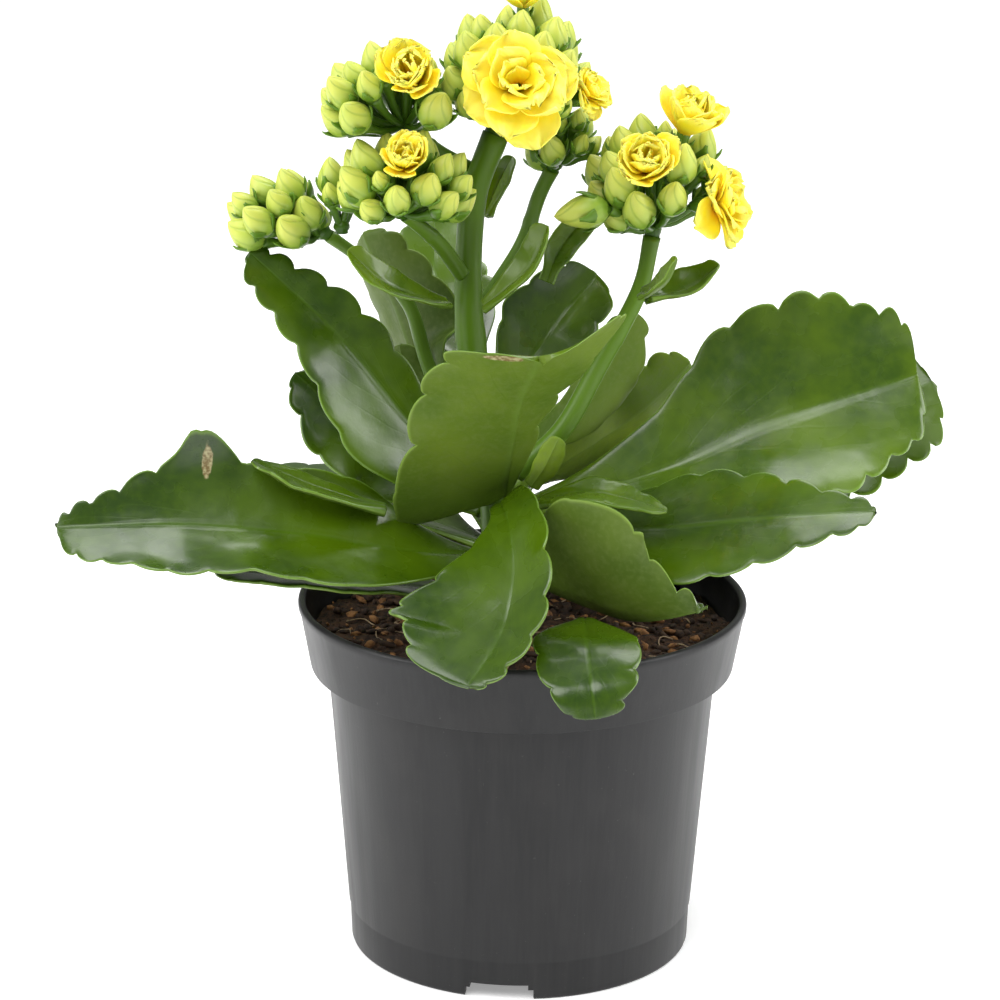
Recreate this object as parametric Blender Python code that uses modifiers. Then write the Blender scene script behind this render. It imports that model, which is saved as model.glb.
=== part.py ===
"""Potted kalanchoe: a flowering succulent house plant in a thin round nursery pot.

World frame: metres, +Z up, the origin at the middle of the pot's underside,
+X to the plant's right, -Y to its front.
Plant positions are (right, back, up) in millimetres from the middle of the pot's rim,
so the whole plant follows the pot's height.
"""
import math

import bmesh
import bpy
import numpy as np
from mathutils import Matrix, Vector

MM = 0.001

# Driving dimensions, in millimetres.
POT_HEIGHT = 85.0
RIM_RADIUS = 52.5
BAND_HEIGHT = 16.0
BAND_FOOT_RADIUS = RIM_RADIUS - 2.9
BODY_TOP_RADIUS = RIM_RADIUS - 6.9
BODY_FOOT_RADIUS = RIM_RADIUS - 11.7
FOOT_RADIUS = RIM_RADIUS - 12.3
FOOT_CREASE_HEIGHT = 9.7
WALL = 1.2
LIP_HEIGHT = 2.4
LIP_WALL = 1.8
LIP_ROUND = 0.5
FLOOR_HEIGHT = 5.4
FOOT_RECESS = 3.6
FOOT_WIDTH = 3.0
FOOT_ROUND = 0.6
PAD_RADIUS = 7.0
NOTCH_WIDTH = 16.0
NOTCH_AZIMUTHS = (-97.0, 23.0, 143.0)
DRAIN_HOLE_RADIUS = 4.0
DRAIN_RING_RADIUS = 26.0
SOIL_DEPTH = 8.0
# The soil's surface: how far from the middle, and how much above its mean level.
SOIL_SURFACE = ((0.0, -1.5), (14.0, -1.0), (28.0, 0.5), (40.0, -0.5))
SOIL_EDGE_DROP = 1.0
CLEARANCE = 0.3
LEAF_THICKNESS = 1.8
BRACT_THICKNESS = 1.2
STALK_HALF_WIDTH = 2.0
LEAF_STANDOFF = 0.5 + LEAF_THICKNESS / 2
BUD_RADIUS = 3.4
BUD_LENGTH = 10.0
PEDICEL_RADIUS = 0.9
HUB_RADIUS = 1.8
BUD_ROOM = BUD_RADIUS - 2.2

TURN_STEPS = 36
LEAF_ROWS = 12
LEAF_COLUMNS = 4
BRACT_ROWS = 9
BRACT_COLUMNS = 2
STATIONS = (0.15, 0.35, 0.55, 0.75, 0.92)
LOBES = 4
TIP_SHARE = 0.985
PEAK_SPREAD = 0.07
PLAIN_BEND = ((20, 20), (20, 20))
NO_SWEEP = ((0, 0), (0, 0))
NO_PEAK = ("left", 0.0, 0.0)

# Stems: the route of the axis and the radius at its foot and at its head.
# "on" names the stem that a side stem grows from.
STEMS = {
    "main_stem": {
        "route": ((-4, 0, -16), (-7, 2, 27), (-11, 4, 50), (-13, 4, 70), (-12, 6, 93), (-7, 8, 108)),
        "radii": (4.0, 2.8),
    },
    "right_peduncle": {
        "route": ((2, -2, 31), (9, -1, 41), (17, 2, 55), (26, 4, 72), (29, 6, 85)),
        "radii": (2.4, 1.8),
        "on": "main_stem",
    },
    "left_peduncle": {
        "route": ((-14, 4, 35), (-22, 7, 53), (-27, 9, 68), (-36, 9, 77), (-45, 8, 84)),
        "radii": (1.9, 1.5),
        "on": "main_stem",
    },
    "front_peduncle": {
        "route": ((-14, 1, 77), (-20, -5, 86), (-27, -9, 93)),
        "radii": (1.9, 1.6),
        "on": "main_stem",
    },
    "back_peduncle": {
        "route": ((-10, 8, 68), (-1, 16, 80), (3, 15, 92), (6, 13, 99)),
        "radii": (1.8, 1.6),
        "on": "main_stem",
    },
    "upper_left_peduncle": {
        "route": ((-12, 9, 99), (-20, 8, 104), (-26, 2, 110)),
        "radii": (1.8, 1.6),
        "on": "main_stem",
    },
}

# Leaves: where the midrib runs, which way the upper side faces (evenly spaced along the leaf),
# the half widths to the left and right of the midrib at STATIONS (seen from the stem, upper side up),
# how far each half is folded up at the midrib and how far it curls up across its width (degrees,
# foot to tip), and the depth of the notches between the margin's lobes as a share of the width.
# "sweep" is how far each half leans towards the tip, per mm of width, and "peak" is the side, the
# share of the length and the height of a lobe that stands out.
LEAVES = {
    "left_leaf": {
        "midrib": ((-9, -4, 9), (-28, -14, 15), (-51, -18, 20), (-78, -20, 23), (-106, -22, 23)),
        "upper": ((0, -0.3, 1), (0, -0.6, 0.8)),
        "left": (9, 19, 19, 19, 12), "right": (9, 17, 16, 16, 6),
        "fold": ((-5, 0), (5, 30)), "curl": ((20, 40), (20, 50)), "notch": 0.12,
        "peak": ("right", 0.70, 8),
    },
    "tall_left_leaf": {
        "midrib": ((-15, 3, 25), (-27, -1, 43), (-43, -2, 63), (-63, 0, 82)),
        "upper": ((0.35, -0.85, 0.4),),
        "left": (12, 18, 15, 10, 7), "right": (4, 8, 10, 9, 5),
        "fold": ((5, 5), (5, 5)), "curl": ((10, 10), (15, 15)), "notch": 0.12,
    },
    "behind_left_leaf": {
        "midrib": ((-16, 17, 18), (-29, 18, 29), (-42, 19, 37), (-54, 20, 48)),
        "upper": ((-0.1, -0.6, 0.8),),
        "left": (6, 15, 17, 14, 7), "right": (4, 7, 8, 7, 4),
        "fold": ((5, 5), (5, 5)), "curl": ((10, 20), (10, 20)), "notch": 0.16,
    },
    "back_left_leaf": {
        "midrib": ((-16, 12, 38), (-24, 19, 50), (-30, 24, 64), (-38, 28, 80)),
        "upper": ((0.35, 0.7, 0.6),),
        "left": (7, 14, 16, 14, 9), "right": (6, 11, 13, 12, 8),
        "fold": ((10, 10), (10, 10)), "curl": ((20, 20), (20, 20)), "notch": 0.09,
    },
    "back_right_leaf": {
        "midrib": ((-3, 10, 46), (3, 19, 54), (9, 24, 62), (17, 26, 71)),
        "upper": ((0, -0.85, 0.45),),
        "left": (5, 11, 14, 12, 8), "right": (3, 7, 10, 11, 9),
        "fold": ((10, 10), (10, 10)), "curl": ((20, 20), (20, 20)), "notch": 0.06,
    },
    "front_center_leaf": {
        "midrib": ((-3, -7, 27), (-3, -17, 41), (-1, -29, 56), (3, -41, 69)),
        "upper": ((0.1, 0.75, 0.6),),
        "left": (3, 5, 8, 12, 20), "right": (25, 27, 25, 24, 20),
        "fold": ((5, 5), (-28, -5)), "curl": ((10, 50), (0, 0)), "notch": 0.10,
        "sweep": ((0, 0, 0.3, 1.0), (-0.7, -0.45, -0.2, 0)),
    },
    "left_inner_leaf": {
        "midrib": ((-14, 9, 26), (-21, 11, 38), (-26, 13, 48), (-29, 13, 57)),
        "upper": ((0.3, 0.8, 0.4),),
        "left": (2, 4, 5, 5, 4), "right": (2, 4, 5, 5, 4),
        "fold": ((5, 5), (5, 5)), "curl": ((15, 15), (15, 15)), "notch": 0.06,
    },
    "right_shade_leaf": {
        "midrib": ((5, 9, 33), (12, 14, 41), (19, 19, 50), (26, 22, 63)),
        "upper": ((-0.3, 0.85, 0.3),),
        "left": (4, 9, 12, 12, 7), "right": (3, 5, 6, 6, 5),
        "fold": ((5, 5), (5, 5)), "curl": ((10, 10), (10, 10)), "notch": 0.14,
    },
    "right_bright_leaf": {
        "midrib": ((-1, 18, 21), (18, 33, 29), (30, 37, 37), (40, 40, 46)),
        "upper": ((-0.3, 0.8, 0.5),),
        "left": (4, 10, 15, 16, 10), "right": (4, 9, 12, 11, 9),
        "fold": ((5, 5), (5, 5)), "curl": ((10, 10), (10, 10)), "notch": 0.12,
    },
    "right_big_leaf": {
        "midrib": ((11, 8, 20), (33, 12, 27), (58, 17, 37), (93, 23, 48)),
        "upper": ((-0.2, -0.75, 0.6), (-0.3, -0.9, 0.35)),
        "left": (5, 14, 27, 28, 17), "right": (6, 14, 23, 27, 17),
        "fold": ((10, 10), (10, 10)), "curl": ((15, 15), (15, 15)), "notch": 0.10,
        "sweep": ((0.3, 0.3), (0, 0)),
    },
    "far_right_leaf": {
        "midrib": ((10, 14, 13), (43, 32, 19), (72, 42, 27), (99, 46, 40)),
        "upper": ((-0.3, -0.75, 0.6),),
        "left": (3, 8, 16, 22, 18), "right": (5, 12, 18, 23, 19),
        "fold": ((5, 5), (5, 5)), "curl": ((10, 10), (10, 10)), "notch": 0.12,
    },
    "right_low_leaf": {
        "midrib": ((9, -6, 16), (29, -18, 22), (53, -26, 27), (79, -32, 31)),
        "upper": ((0, -0.35, 0.9),),
        "left": (6, 12, 16, 12, 5), "right": (7, 15, 17, 12, 6),
        "fold": ((15, 15), (-10, -10)), "curl": ((10, 10), (-10, -10)), "notch": 0.12,
    },
    "right_small_leaf": {
        "midrib": ((4, -14, 27), (15, -20, 31), (24, -25, 31), (32, -30, 30)),
        "upper": ((0, -0.3, 1),),
        "left": (4, 6, 5, 4, 2), "right": (4, 6, 6, 5, 3),
        "fold": ((10, 10), (10, 10)), "curl": ((10, 10), (10, 10)), "notch": 0.05,
    },
    "right_folded_leaf": {
        "midrib": ((5, -10, 7), (14, -22, 6), (26, -30, 5), (40, -36, 9)),
        "upper": ((0, -0.1, 1),),
        "left": (5, 9, 11, 9, 5), "right": (10, 30, 29, 19, 7),
        "fold": ((40, 40), (60, 75)), "curl": ((10, 10), (20, 20)), "notch": 0.14,
        "sweep": ((0, 0), (0.1, 0.4)),
    },
    "front_left_leaf": {
        "midrib": (
            (-4, -7, 17), (-5, -16, 27), (-3, -27, 25), (-2, 13.5 - RIM_RADIUS, 17), (-5, 2.5 - RIM_RADIUS, 7),
            (-12, -7.5 - RIM_RADIUS, -1),
        ),
        "upper": ((-0.1, -0.6, 0.8), (-0.2, -0.8, 0.6)),
        "left": (4, 9, 12, 13, 7), "right": (2, 4, 18, 28, 18),
        "fold": ((20, 20), (-10, 0)), "curl": ((20, 20), (10, 10)), "notch": 0.08,
        "sweep": ((0, 0), (-0.4, -0.1, 0.1, 0.2)),
    },
    "front_small_leaf": {
        "midrib": ((14, -34, 5), (14, 4.5 - RIM_RADIUS, 5), (15, -5.5 - RIM_RADIUS, -1), (16, -8.5 - RIM_RADIUS, -8)),
        "upper": ((0, -0.3, 0.9), (0, -0.95, 0.3)),
        "left": (8, 12, 12, 11, 7), "right": (8, 12, 12, 11, 7),
        "fold": ((0, 0), (0, 0)), "curl": ((0, 0), (0, 0)), "notch": 0.10,
    },
    "low_left_leaf": {
        "midrib": ((-10, -4, 1), (-33, -14, 7), (-53, -22, 11), (-70, -26, 14)),
        "upper": ((0, -0.1, 1),),
        "left": (6, 9, 10, 9, 5), "right": (5, 6, 6, 5, 3),
        "fold": ((5, 5), (5, 5)), "curl": ((10, 10), (10, 10)), "notch": 0.1,
    },
    "edge_left_leaf": {
        "midrib": (
            (-32, -11, 18.6 + 3 * LEAF_THICKNESS), (-40, -13, 21.6 + 3 * LEAF_THICKNESS),
            (-50, -15, 25.6 + 3 * LEAF_THICKNESS), (-62, -16, 31.6 + 3 * LEAF_THICKNESS),
        ),
        "upper": ((0, -0.2, 1),),
        "left": (3, 5, 6, 6, 4), "right": (2, 4, 4, 4, 2),
        "fold": ((10, 10), (10, 10)), "curl": ((20, 20), (20, 20)), "notch": 0.08,
    },
    "axil_leaf": {
        "midrib": ((2, -9, 30), (5, -11, 35), (8, -12, 42)),
        "upper": ((0.3, 0.9, 0.2),),
        "left": (2, 3, 3, 3, 2), "right": (2, 3, 3, 3, 2),
        "fold": ((5, 5), (5, 5)), "curl": ((10, 10), (10, 10)), "notch": 0.0,
    },
    "back_leaf": {
        "midrib": ((-8, 14, 12), (-8, 34, 18), (-11, 58, 26), (-14, 80, 30)),
        "upper": ((0, 0.2, 1), (0, 0.5, 0.85)),
        "left": (6, 14, 20, 19, 12), "right": (6, 14, 20, 18, 11),
        "fold": ((8, 8), (8, 8)), "curl": ((20, 20), (20, 20)), "notch": 0.09,
    },
    "back_low_left_leaf": {
        "midrib": ((-10, 12, 8), (-30, 28, 12), (-52, 42, 14), (-72, 54, 12)),
        "upper": ((-0.1, 0.2, 1), (-0.2, 0.4, 0.85)),
        "left": (5, 12, 17, 15, 9), "right": (5, 12, 17, 16, 10),
        "fold": ((8, 8), (8, 8)), "curl": ((15, 15), (15, 15)), "notch": 0.1,
    },
    "back_low_right_leaf": {
        "midrib": ((6, 14, 6), (20, 34, 8), (36, 54, 10), (48, 72, 10)),
        "upper": ((0.1, 0.2, 1), (0.25, 0.4, 0.85)),
        "left": (5, 12, 16, 14, 9), "right": (5, 12, 17, 15, 9),
        "fold": ((8, 8), (8, 8)), "curl": ((15, 15), (15, 15)), "notch": 0.08,
    },
    "back_upright_leaf": {
        "midrib": ((-11, 15, 50), (-17, 31, 58), (-21, 44, 65), (-22, 55, 77)),
        "upper": ((0, -0.6, 0.8),),
        "left": (4, 10, 14, 13, 8), "right": (4, 10, 14, 12, 8),
        "fold": ((8, 8), (8, 8)), "curl": ((15, 15), (15, 15)), "notch": 0.08,
    },
}

# Leaves whose foot stands free of the main stem, between the others.
LOOSE_LEAVES = ("front_small_leaf", "axil_leaf", "right_small_leaf", "edge_left_leaf")

# Bracts: the narrow plain-edged leaves under the flower heads.
BRACTS = {
    "bract_a": {
        "midrib": ((-18, 0, 70), (-24, -6, 73), (-32, -12, 78), (-40, -14, 86)),
        "upper": ((0.1, -0.4, 0.9), (0.3, -0.5, 0.6)),
        "left": (4, 5, 6, 6, 4), "right": (3, 4, 5, 4, 3),
    },
    "bract_b": {
        "midrib": ((-9, -2, 70), (-4, -5, 75), (2, -8, 82), (5, -10, 91)),
        "upper": ((-0.5, -0.5, 0.6),),
        "left": (3, 4, 5, 5, 4), "right": (3, 4, 5, 5, 4),
    },
    "bract_c": {
        "midrib": ((5, 18, 71), (8, 20, 78), (12, 22, 83), (17, 22, 88)),
        "upper": ((0, -1, 0.3),),
        "left": (2, 4, 4, 4, 3), "right": (2, 4, 4, 4, 3),
    },
    "bract_d": {
        "midrib": ((28, 6, 70), (33, 10, 70), (40, 12, 72), (45, 12, 77)),
        "upper": ((-0.3, -0.4, 0.8),),
        "left": (3, 5, 6, 5, 3), "right": (3, 5, 6, 5, 3),
    },
    "bract_e": {
        "midrib": ((27, -1, 73), (30, -6, 76), (32, -9, 79), (34, -11, 84)),
        "upper": ((-0.6, -0.2, 0.6),),
        "left": (2, 3, 4, 3, 2), "right": (2, 3, 4, 3, 2),
    },
    "bract_f": {
        "midrib": ((-9, 12, 88), (-7, 15, 93), (-5, 17, 97), (-3, 17, 101)),
        "upper": ((-0.4, -0.8, 0.3),),
        "left": (2, 3, 4, 3, 2), "right": (2, 3, 4, 3, 2),
    },
}

# Flower heads: the stem that carries the head, or the point of its hub where its pedicels part,
# the middle and half sizes of the head of buds, and how many bud places are spread over it
# before those that a flower or an earlier head takes are left out.
HEADS = {
    "head_top": {"stem": "main_stem", "middle": (-2, 4, 122), "half": (15, 14, 14), "places": 38},
    "head_upper_left": {
        "stem": "upper_left_peduncle", "middle": (-30, -4, 118), "half": (14, 13, 9), "places": 27,
    },
    "head_front": {"stem": "front_peduncle", "middle": (-27, -9, 99), "half": (13, 11, 9), "places": 23},
    "head_left": {"stem": "left_peduncle", "middle": (-57, 6, 89), "half": (9, 9, 7), "places": 13},
    "head_left_small": {"hub": (-42, 3, 88), "middle": (-42, 3, 96), "half": (4, 5, 4), "places": 6},
    "head_right": {"stem": "right_peduncle", "middle": (30, 6, 97), "half": (14, 13, 13), "places": 34},
    "head_back": {"stem": "back_peduncle", "middle": (9, 13, 105), "half": (7, 8, 8), "places": 11},
}

# Open flowers: the middle of the flower, the way it faces, its radius and its depth.
FLOWERS = {
    "flower_upper_left": {
        "middle": (-26, -17, 127), "faces": (-0.1, -0.75, 0.6), "radius": 8.0, "depth": 9.0,
    },
    "flower_top": {"middle": (-2, -17, 125), "faces": (0.05, -0.85, 0.45), "radius": 12.0, "depth": 11.0},
    "flower_crown": {"middle": (-1, 4, 141), "faces": (0, -0.2, 1), "radius": 6.0, "depth": 7.0},
    "flower_top_right": {"middle": (15, 2, 120), "faces": (0.7, -0.3, 0.5), "radius": 6.0, "depth": 7.0},
    "flower_front": {"middle": (-27, -20, 109), "faces": (0, -0.7, 0.75), "radius": 6.5, "depth": 8.0},
    "flower_right_cup": {"middle": (27, -10, 106), "faces": (0, -0.7, 0.6), "radius": 8.0, "depth": 9.0},
    "flower_right_upper": {"middle": (37, 4, 113), "faces": (0.3, -0.2, 0.9), "radius": 8.5, "depth": 9.0},
    "flower_right_side": {"middle": (46, -2, 95), "faces": (0.9, -0.4, 0.2), "radius": 9.0, "depth": 9.0},
}


def build():
    """Model the whole plant and its pot."""
    for old in list(bpy.data.objects):
        bpy.data.objects.remove(old, do_unlink=True)
    part = make_collection("potted_kalanchoe")
    cutters = make_collection("cutters")
    make_pot(part, cutters)
    make_soil(part, cutters)
    for name in STEMS:
        make_stem(part, name)
    for name in LEAVES:
        make_leaf(part, name)
    for name in BRACTS:
        make_bract(part, name)
    for name in HEADS:
        make_head(part, cutters, name)
    for name in FLOWERS:
        make_flower(part, name)


def make_collection(name):
    """Make an empty collection in the scene."""
    collection = bpy.data.collections.new(name)
    bpy.context.scene.collection.children.link(collection)
    return collection


def material(name, colour, roughness, metallic=0.0):
    """Return the Principled material of this name."""
    found = bpy.data.materials.get(name)
    if found:
        return found
    made = bpy.data.materials.new(name)
    made.use_nodes = True
    shader = made.node_tree.nodes["Principled BSDF"]
    shader.inputs["Base Color"].default_value = (*colour, 1.0)
    shader.inputs["Roughness"].default_value = roughness
    shader.inputs["Metallic"].default_value = metallic
    made.diffuse_color = (*colour, 1.0)
    return made


def add_object(collection, name, data, look, smooth_angle=50.0):
    """Put the data in the scene as a named object with its own material."""
    thing = bpy.data.objects.new(name, data)
    collection.objects.link(thing)
    data.materials.append(look)
    if hasattr(data, "shade_smooth"):
        data.shade_smooth()
        data.set_sharp_from_angle(angle=math.radians(smooth_angle))
    return thing


def as_cutter(thing):
    """Mark an object as one that only cuts or joins another."""
    thing.hide_render = True
    thing.display_type = "WIRE"


def from_bmesh(name, shape):
    """Turn a bmesh into mesh data."""
    data = bpy.data.meshes.new(name)
    shape.to_mesh(data)
    shape.free()
    return data


def turn_profile(collection, name, profile, look):
    """Turn a profile of (radius, height) in mm, top to bottom, about Z."""
    data = bpy.data.meshes.new(name)
    points = [(radius * MM, 0.0, height * MM) for radius, height in profile]
    data.from_pydata(points, [(i, i + 1) for i in range(len(points) - 1)], [])
    thing = add_object(collection, name, data, look)
    screw = thing.modifiers.new("turn", "SCREW")
    screw.axis = "Z"
    screw.steps = TURN_STEPS
    screw.render_steps = TURN_STEPS
    screw.use_merge_vertices = True
    screw.merge_threshold = 0.00001
    return thing


def add_boolean(thing, cutter, operation, use_self=False):
    """Cut or join the object with another, exactly."""
    step = thing.modifiers.new(operation.lower(), "BOOLEAN")
    step.operation = operation
    step.object = cutter
    step.solver = "EXACT"
    step.use_self = use_self


def outer_radius(height):
    """The pot body's outer radius under the band, at a height."""
    crease = FOOT_CREASE_HEIGHT
    if height < crease:
        return FOOT_RADIUS + (BODY_FOOT_RADIUS - FOOT_RADIUS) * height / crease
    share = (height - crease) / (POT_HEIGHT - BAND_HEIGHT - crease)
    return BODY_FOOT_RADIUS + (BODY_TOP_RADIUS - BODY_FOOT_RADIUS) * share


def band_radius(height):
    """The rim band's outer radius at a height."""
    share = (height - (POT_HEIGHT - BAND_HEIGHT)) / BAND_HEIGHT
    return BAND_FOOT_RADIUS + (RIM_RADIUS - BAND_FOOT_RADIUS) * share


def pot_profile():
    """The pot's section: inner floor, inner wall, lip, outer wall, foot, underside."""
    ledge = POT_HEIGHT - BAND_HEIGHT
    lip = POT_HEIGHT - LIP_HEIGHT
    return [
        (0.0, FLOOR_HEIGHT),
        (outer_radius(FLOOR_HEIGHT) - WALL, FLOOR_HEIGHT),
        (outer_radius(ledge + WALL) - WALL, ledge + WALL),
        (band_radius(ledge + WALL) - WALL, ledge + WALL),
        (band_radius(lip) - WALL, lip),
        (RIM_RADIUS - LIP_WALL, lip + LIP_ROUND),
        (RIM_RADIUS - LIP_WALL, POT_HEIGHT - LIP_ROUND),
        (RIM_RADIUS - LIP_WALL + LIP_ROUND, POT_HEIGHT),
        (RIM_RADIUS - LIP_ROUND, POT_HEIGHT),
        (RIM_RADIUS, POT_HEIGHT - LIP_ROUND),
        (band_radius(lip), lip),
        (BAND_FOOT_RADIUS, ledge),
        (BODY_TOP_RADIUS, ledge),
        (BODY_FOOT_RADIUS, FOOT_CREASE_HEIGHT),
        (BODY_FOOT_RADIUS - FOOT_ROUND / 2, FOOT_CREASE_HEIGHT - FOOT_ROUND),
        (FOOT_RADIUS, FOOT_ROUND),
        (FOOT_RADIUS - FOOT_ROUND, 0.0),
        (FOOT_RADIUS - FOOT_WIDTH, 0.0),
        (FOOT_RADIUS - FOOT_WIDTH - FOOT_ROUND, FOOT_RECESS),
        (PAD_RADIUS + FOOT_ROUND, FOOT_RECESS),
        (PAD_RADIUS, 0.0),
        (0.0, 0.0),
    ]


def make_pot(part, cutters):
    """The thin-walled pot, with drain holes in its floor and notches in its foot."""
    look = material("pot_plastic", (0.06, 0.06, 0.063), 0.45)
    pot = turn_profile(part, "pot", pot_profile(), look)
    shape = bmesh.new()
    for azimuth in NOTCH_AZIMUTHS:
        turn = Matrix.Rotation(math.radians(azimuth), 4, "Z")
        reach = 3 * FOOT_WIDTH
        middle = FOOT_RADIUS - FOOT_WIDTH / 2
        block = Matrix.Diagonal((reach * MM, NOTCH_WIDTH * MM, 2 * FOOT_RECESS * MM, 1.0))
        place = turn @ Matrix.Translation((middle * MM, 0.0, 0.0)) @ block
        bmesh.ops.create_cube(shape, size=1.0, matrix=place)
        hole = turn @ Matrix.Translation((DRAIN_RING_RADIUS * MM, 0.0, FLOOR_HEIGHT * MM))
        bmesh.ops.create_cone(
            shape, cap_ends=True, segments=16, radius1=DRAIN_HOLE_RADIUS * MM,
            radius2=DRAIN_HOLE_RADIUS * MM, depth=2 * FLOOR_HEIGHT * MM, matrix=hole)
    cutter = add_object(cutters, "pot_cutter", from_bmesh("pot_cutter", shape), look)
    as_cutter(cutter)
    add_boolean(pot, cutter, "DIFFERENCE")


def make_soil(part, cutters):
    """The potting soil, a little lower in its middle, with a hole for the main stem."""
    look = material("soil", (0.05, 0.025, 0.012), 0.95)
    top = POT_HEIGHT - SOIL_DEPTH
    ledge = POT_HEIGHT - BAND_HEIGHT + WALL
    inner = WALL + CLEARANCE
    profile = [(radius, top + lift) for radius, lift in SOIL_SURFACE] + [
        (band_radius(top) - inner, top - SOIL_EDGE_DROP),
        (band_radius(ledge) - inner, ledge + CLEARANCE),
        (outer_radius(ledge) - inner, ledge + CLEARANCE),
        (outer_radius(FLOOR_HEIGHT) - inner, FLOOR_HEIGHT + CLEARANCE),
        (0.0, FLOOR_HEIGHT + CLEARANCE),
    ]
    soil = turn_profile(part, "soil", profile, look)
    shape = bmesh.new()
    foot = Vector(STEMS["main_stem"]["route"][0])
    radius = STEMS["main_stem"]["radii"][0] + 2 * CLEARANCE
    bottom = POT_HEIGHT + foot.z - CLEARANCE
    depth = top + 2 * SOIL_DEPTH - bottom
    place = Matrix.Translation((foot.x * MM, foot.y * MM, (bottom + depth / 2) * MM))
    bmesh.ops.create_cone(
        shape, cap_ends=True, segments=16, radius1=radius * MM, radius2=radius * MM,
        depth=depth * MM, matrix=place)
    cutter = add_object(cutters, "soil_cutter", from_bmesh("soil_cutter", shape), look)
    as_cutter(cutter)
    add_boolean(soil, cutter, "DIFFERENCE")


def smooth_route(points, count):
    """Points evenly spaced along a smooth curve through the given points, in mm."""
    given = np.asarray(points, float)
    ends = np.vstack([2 * given[0] - given[1], given, 2 * given[-1] - given[-2]])
    share = np.linspace(0.0, 1.0, 24, endpoint=False)[:, None]
    pieces = []
    for a, b, c, d in zip(ends, ends[1:], ends[2:], ends[3:]):
        cubic = 3 * b - a - 3 * c + d
        square = 2 * a - 5 * b + 4 * c - d
        pieces.append(0.5 * (2 * b + (c - a) * share + square * share**2 + cubic * share**3))
    line = np.vstack(pieces + [given[-1:]])
    run = np.concatenate([[0.0], np.cumsum(np.linalg.norm(np.diff(line, axis=0), axis=1))])
    at = np.linspace(0.0, run[-1], count)
    return np.stack([np.interp(at, run, line[:, axis]) for axis in range(3)], axis=1)


def stem_radius(stem, share):
    """A stem's radius at a share of its length."""
    foot, head = STEMS[stem]["radii"]
    return foot + (head - foot) * share


def stem_route(stem, count=40):
    """A stem's axis, with a side stem's foot seated on the stem that carries it."""
    points = [Vector(point) for point in STEMS[stem]["route"]]
    carrier = STEMS[stem].get("on")
    if carrier:
        points[0] = seated(points, carrier, STEMS[stem]["radii"][0] * 0.9)
    return smooth_route(points, count)


def seated(points, stem, standoff):
    """The point beside a stem's surface from which a leaf or a side stem leaves it."""
    axis = stem_route(stem)
    nearest = int(np.argmin(np.linalg.norm(axis - np.asarray(points[0]), axis=1)))
    nearest = min(max(nearest, 1), len(axis) - 2)
    centre = Vector(axis[nearest])
    along = Vector(axis[nearest + 1] - axis[nearest - 1]).normalized()
    out = Vector(points[0]) - centre
    out -= along * out.dot(along)
    reach = stem_radius(stem, nearest / (len(axis) - 1)) + CLEARANCE + standoff
    return centre + out.normalized() * reach


def make_stem(part, name):
    """A round tapering stem."""
    look = material("stem", (0.16, 0.30, 0.06), 0.4)
    route = stem_route(name, 9)
    data = bpy.data.curves.new(name, "CURVE")
    data.dimensions = "3D"
    data.bevel_depth = MM
    data.bevel_resolution = 2
    data.use_fill_caps = True
    line = data.splines.new("POLY")
    line.points.add(len(route) - 1)
    for index, point in enumerate(route):
        line.points[index].co = (*plant_point(point), 1.0)
        line.points[index].radius = stem_radius(name, index / (len(route) - 1))
    data.materials.append(look)
    thing = bpy.data.objects.new(name, data)
    part.objects.link(thing)
    return thing


def plant_point(point):
    """A plant position in mm from the rim's middle, as a world position in metres."""
    return Vector((point[0], point[1], point[2] + POT_HEIGHT)) * MM


def at_share(values, share):
    """A value that changes evenly from the foot of a leaf to its tip."""
    values = np.atleast_2d(np.asarray(values, float))
    keys = np.linspace(0.0, 1.0, len(values))
    return np.array([np.interp(share, keys, column) for column in values.T])


def half_width(leaf, side, share):
    """Distance from the midrib to the margin, in mm, at a share of the leaf's length."""
    widths = (STALK_HALF_WIDTH, *leaf[side])
    stations = (0.0, *STATIONS)
    spread = (-0.05, -0.025, 0.0, 0.025, 0.05)
    width = np.mean([np.interp(min(share + step, STATIONS[-1]), stations, widths) for step in spread])
    past = max(0.0, (share - STATIONS[-1]) / (1.0 - STATIONS[-1]))
    return width * math.sqrt(max(0.0, 1.0 - past * past))


def lobed(leaf, along):
    """The share of the half width that the scalloped margin leaves, at a grid position."""
    share = leaf_share(along)
    rise = min(1.0, max(0.0, (share - 0.3) / 0.25))
    lobe = abs(math.sin(math.pi * LOBES * along)) ** 0.6
    return 1.0 - leaf.get("notch", 0.0) * rise * (1.0 - lobe)


def leaf_share(along):
    """Share of the leaf's length at a grid position: rows get closer towards the tip."""
    return (1.0 - (1.0 - along) ** 1.5) * TIP_SHARE


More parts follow.
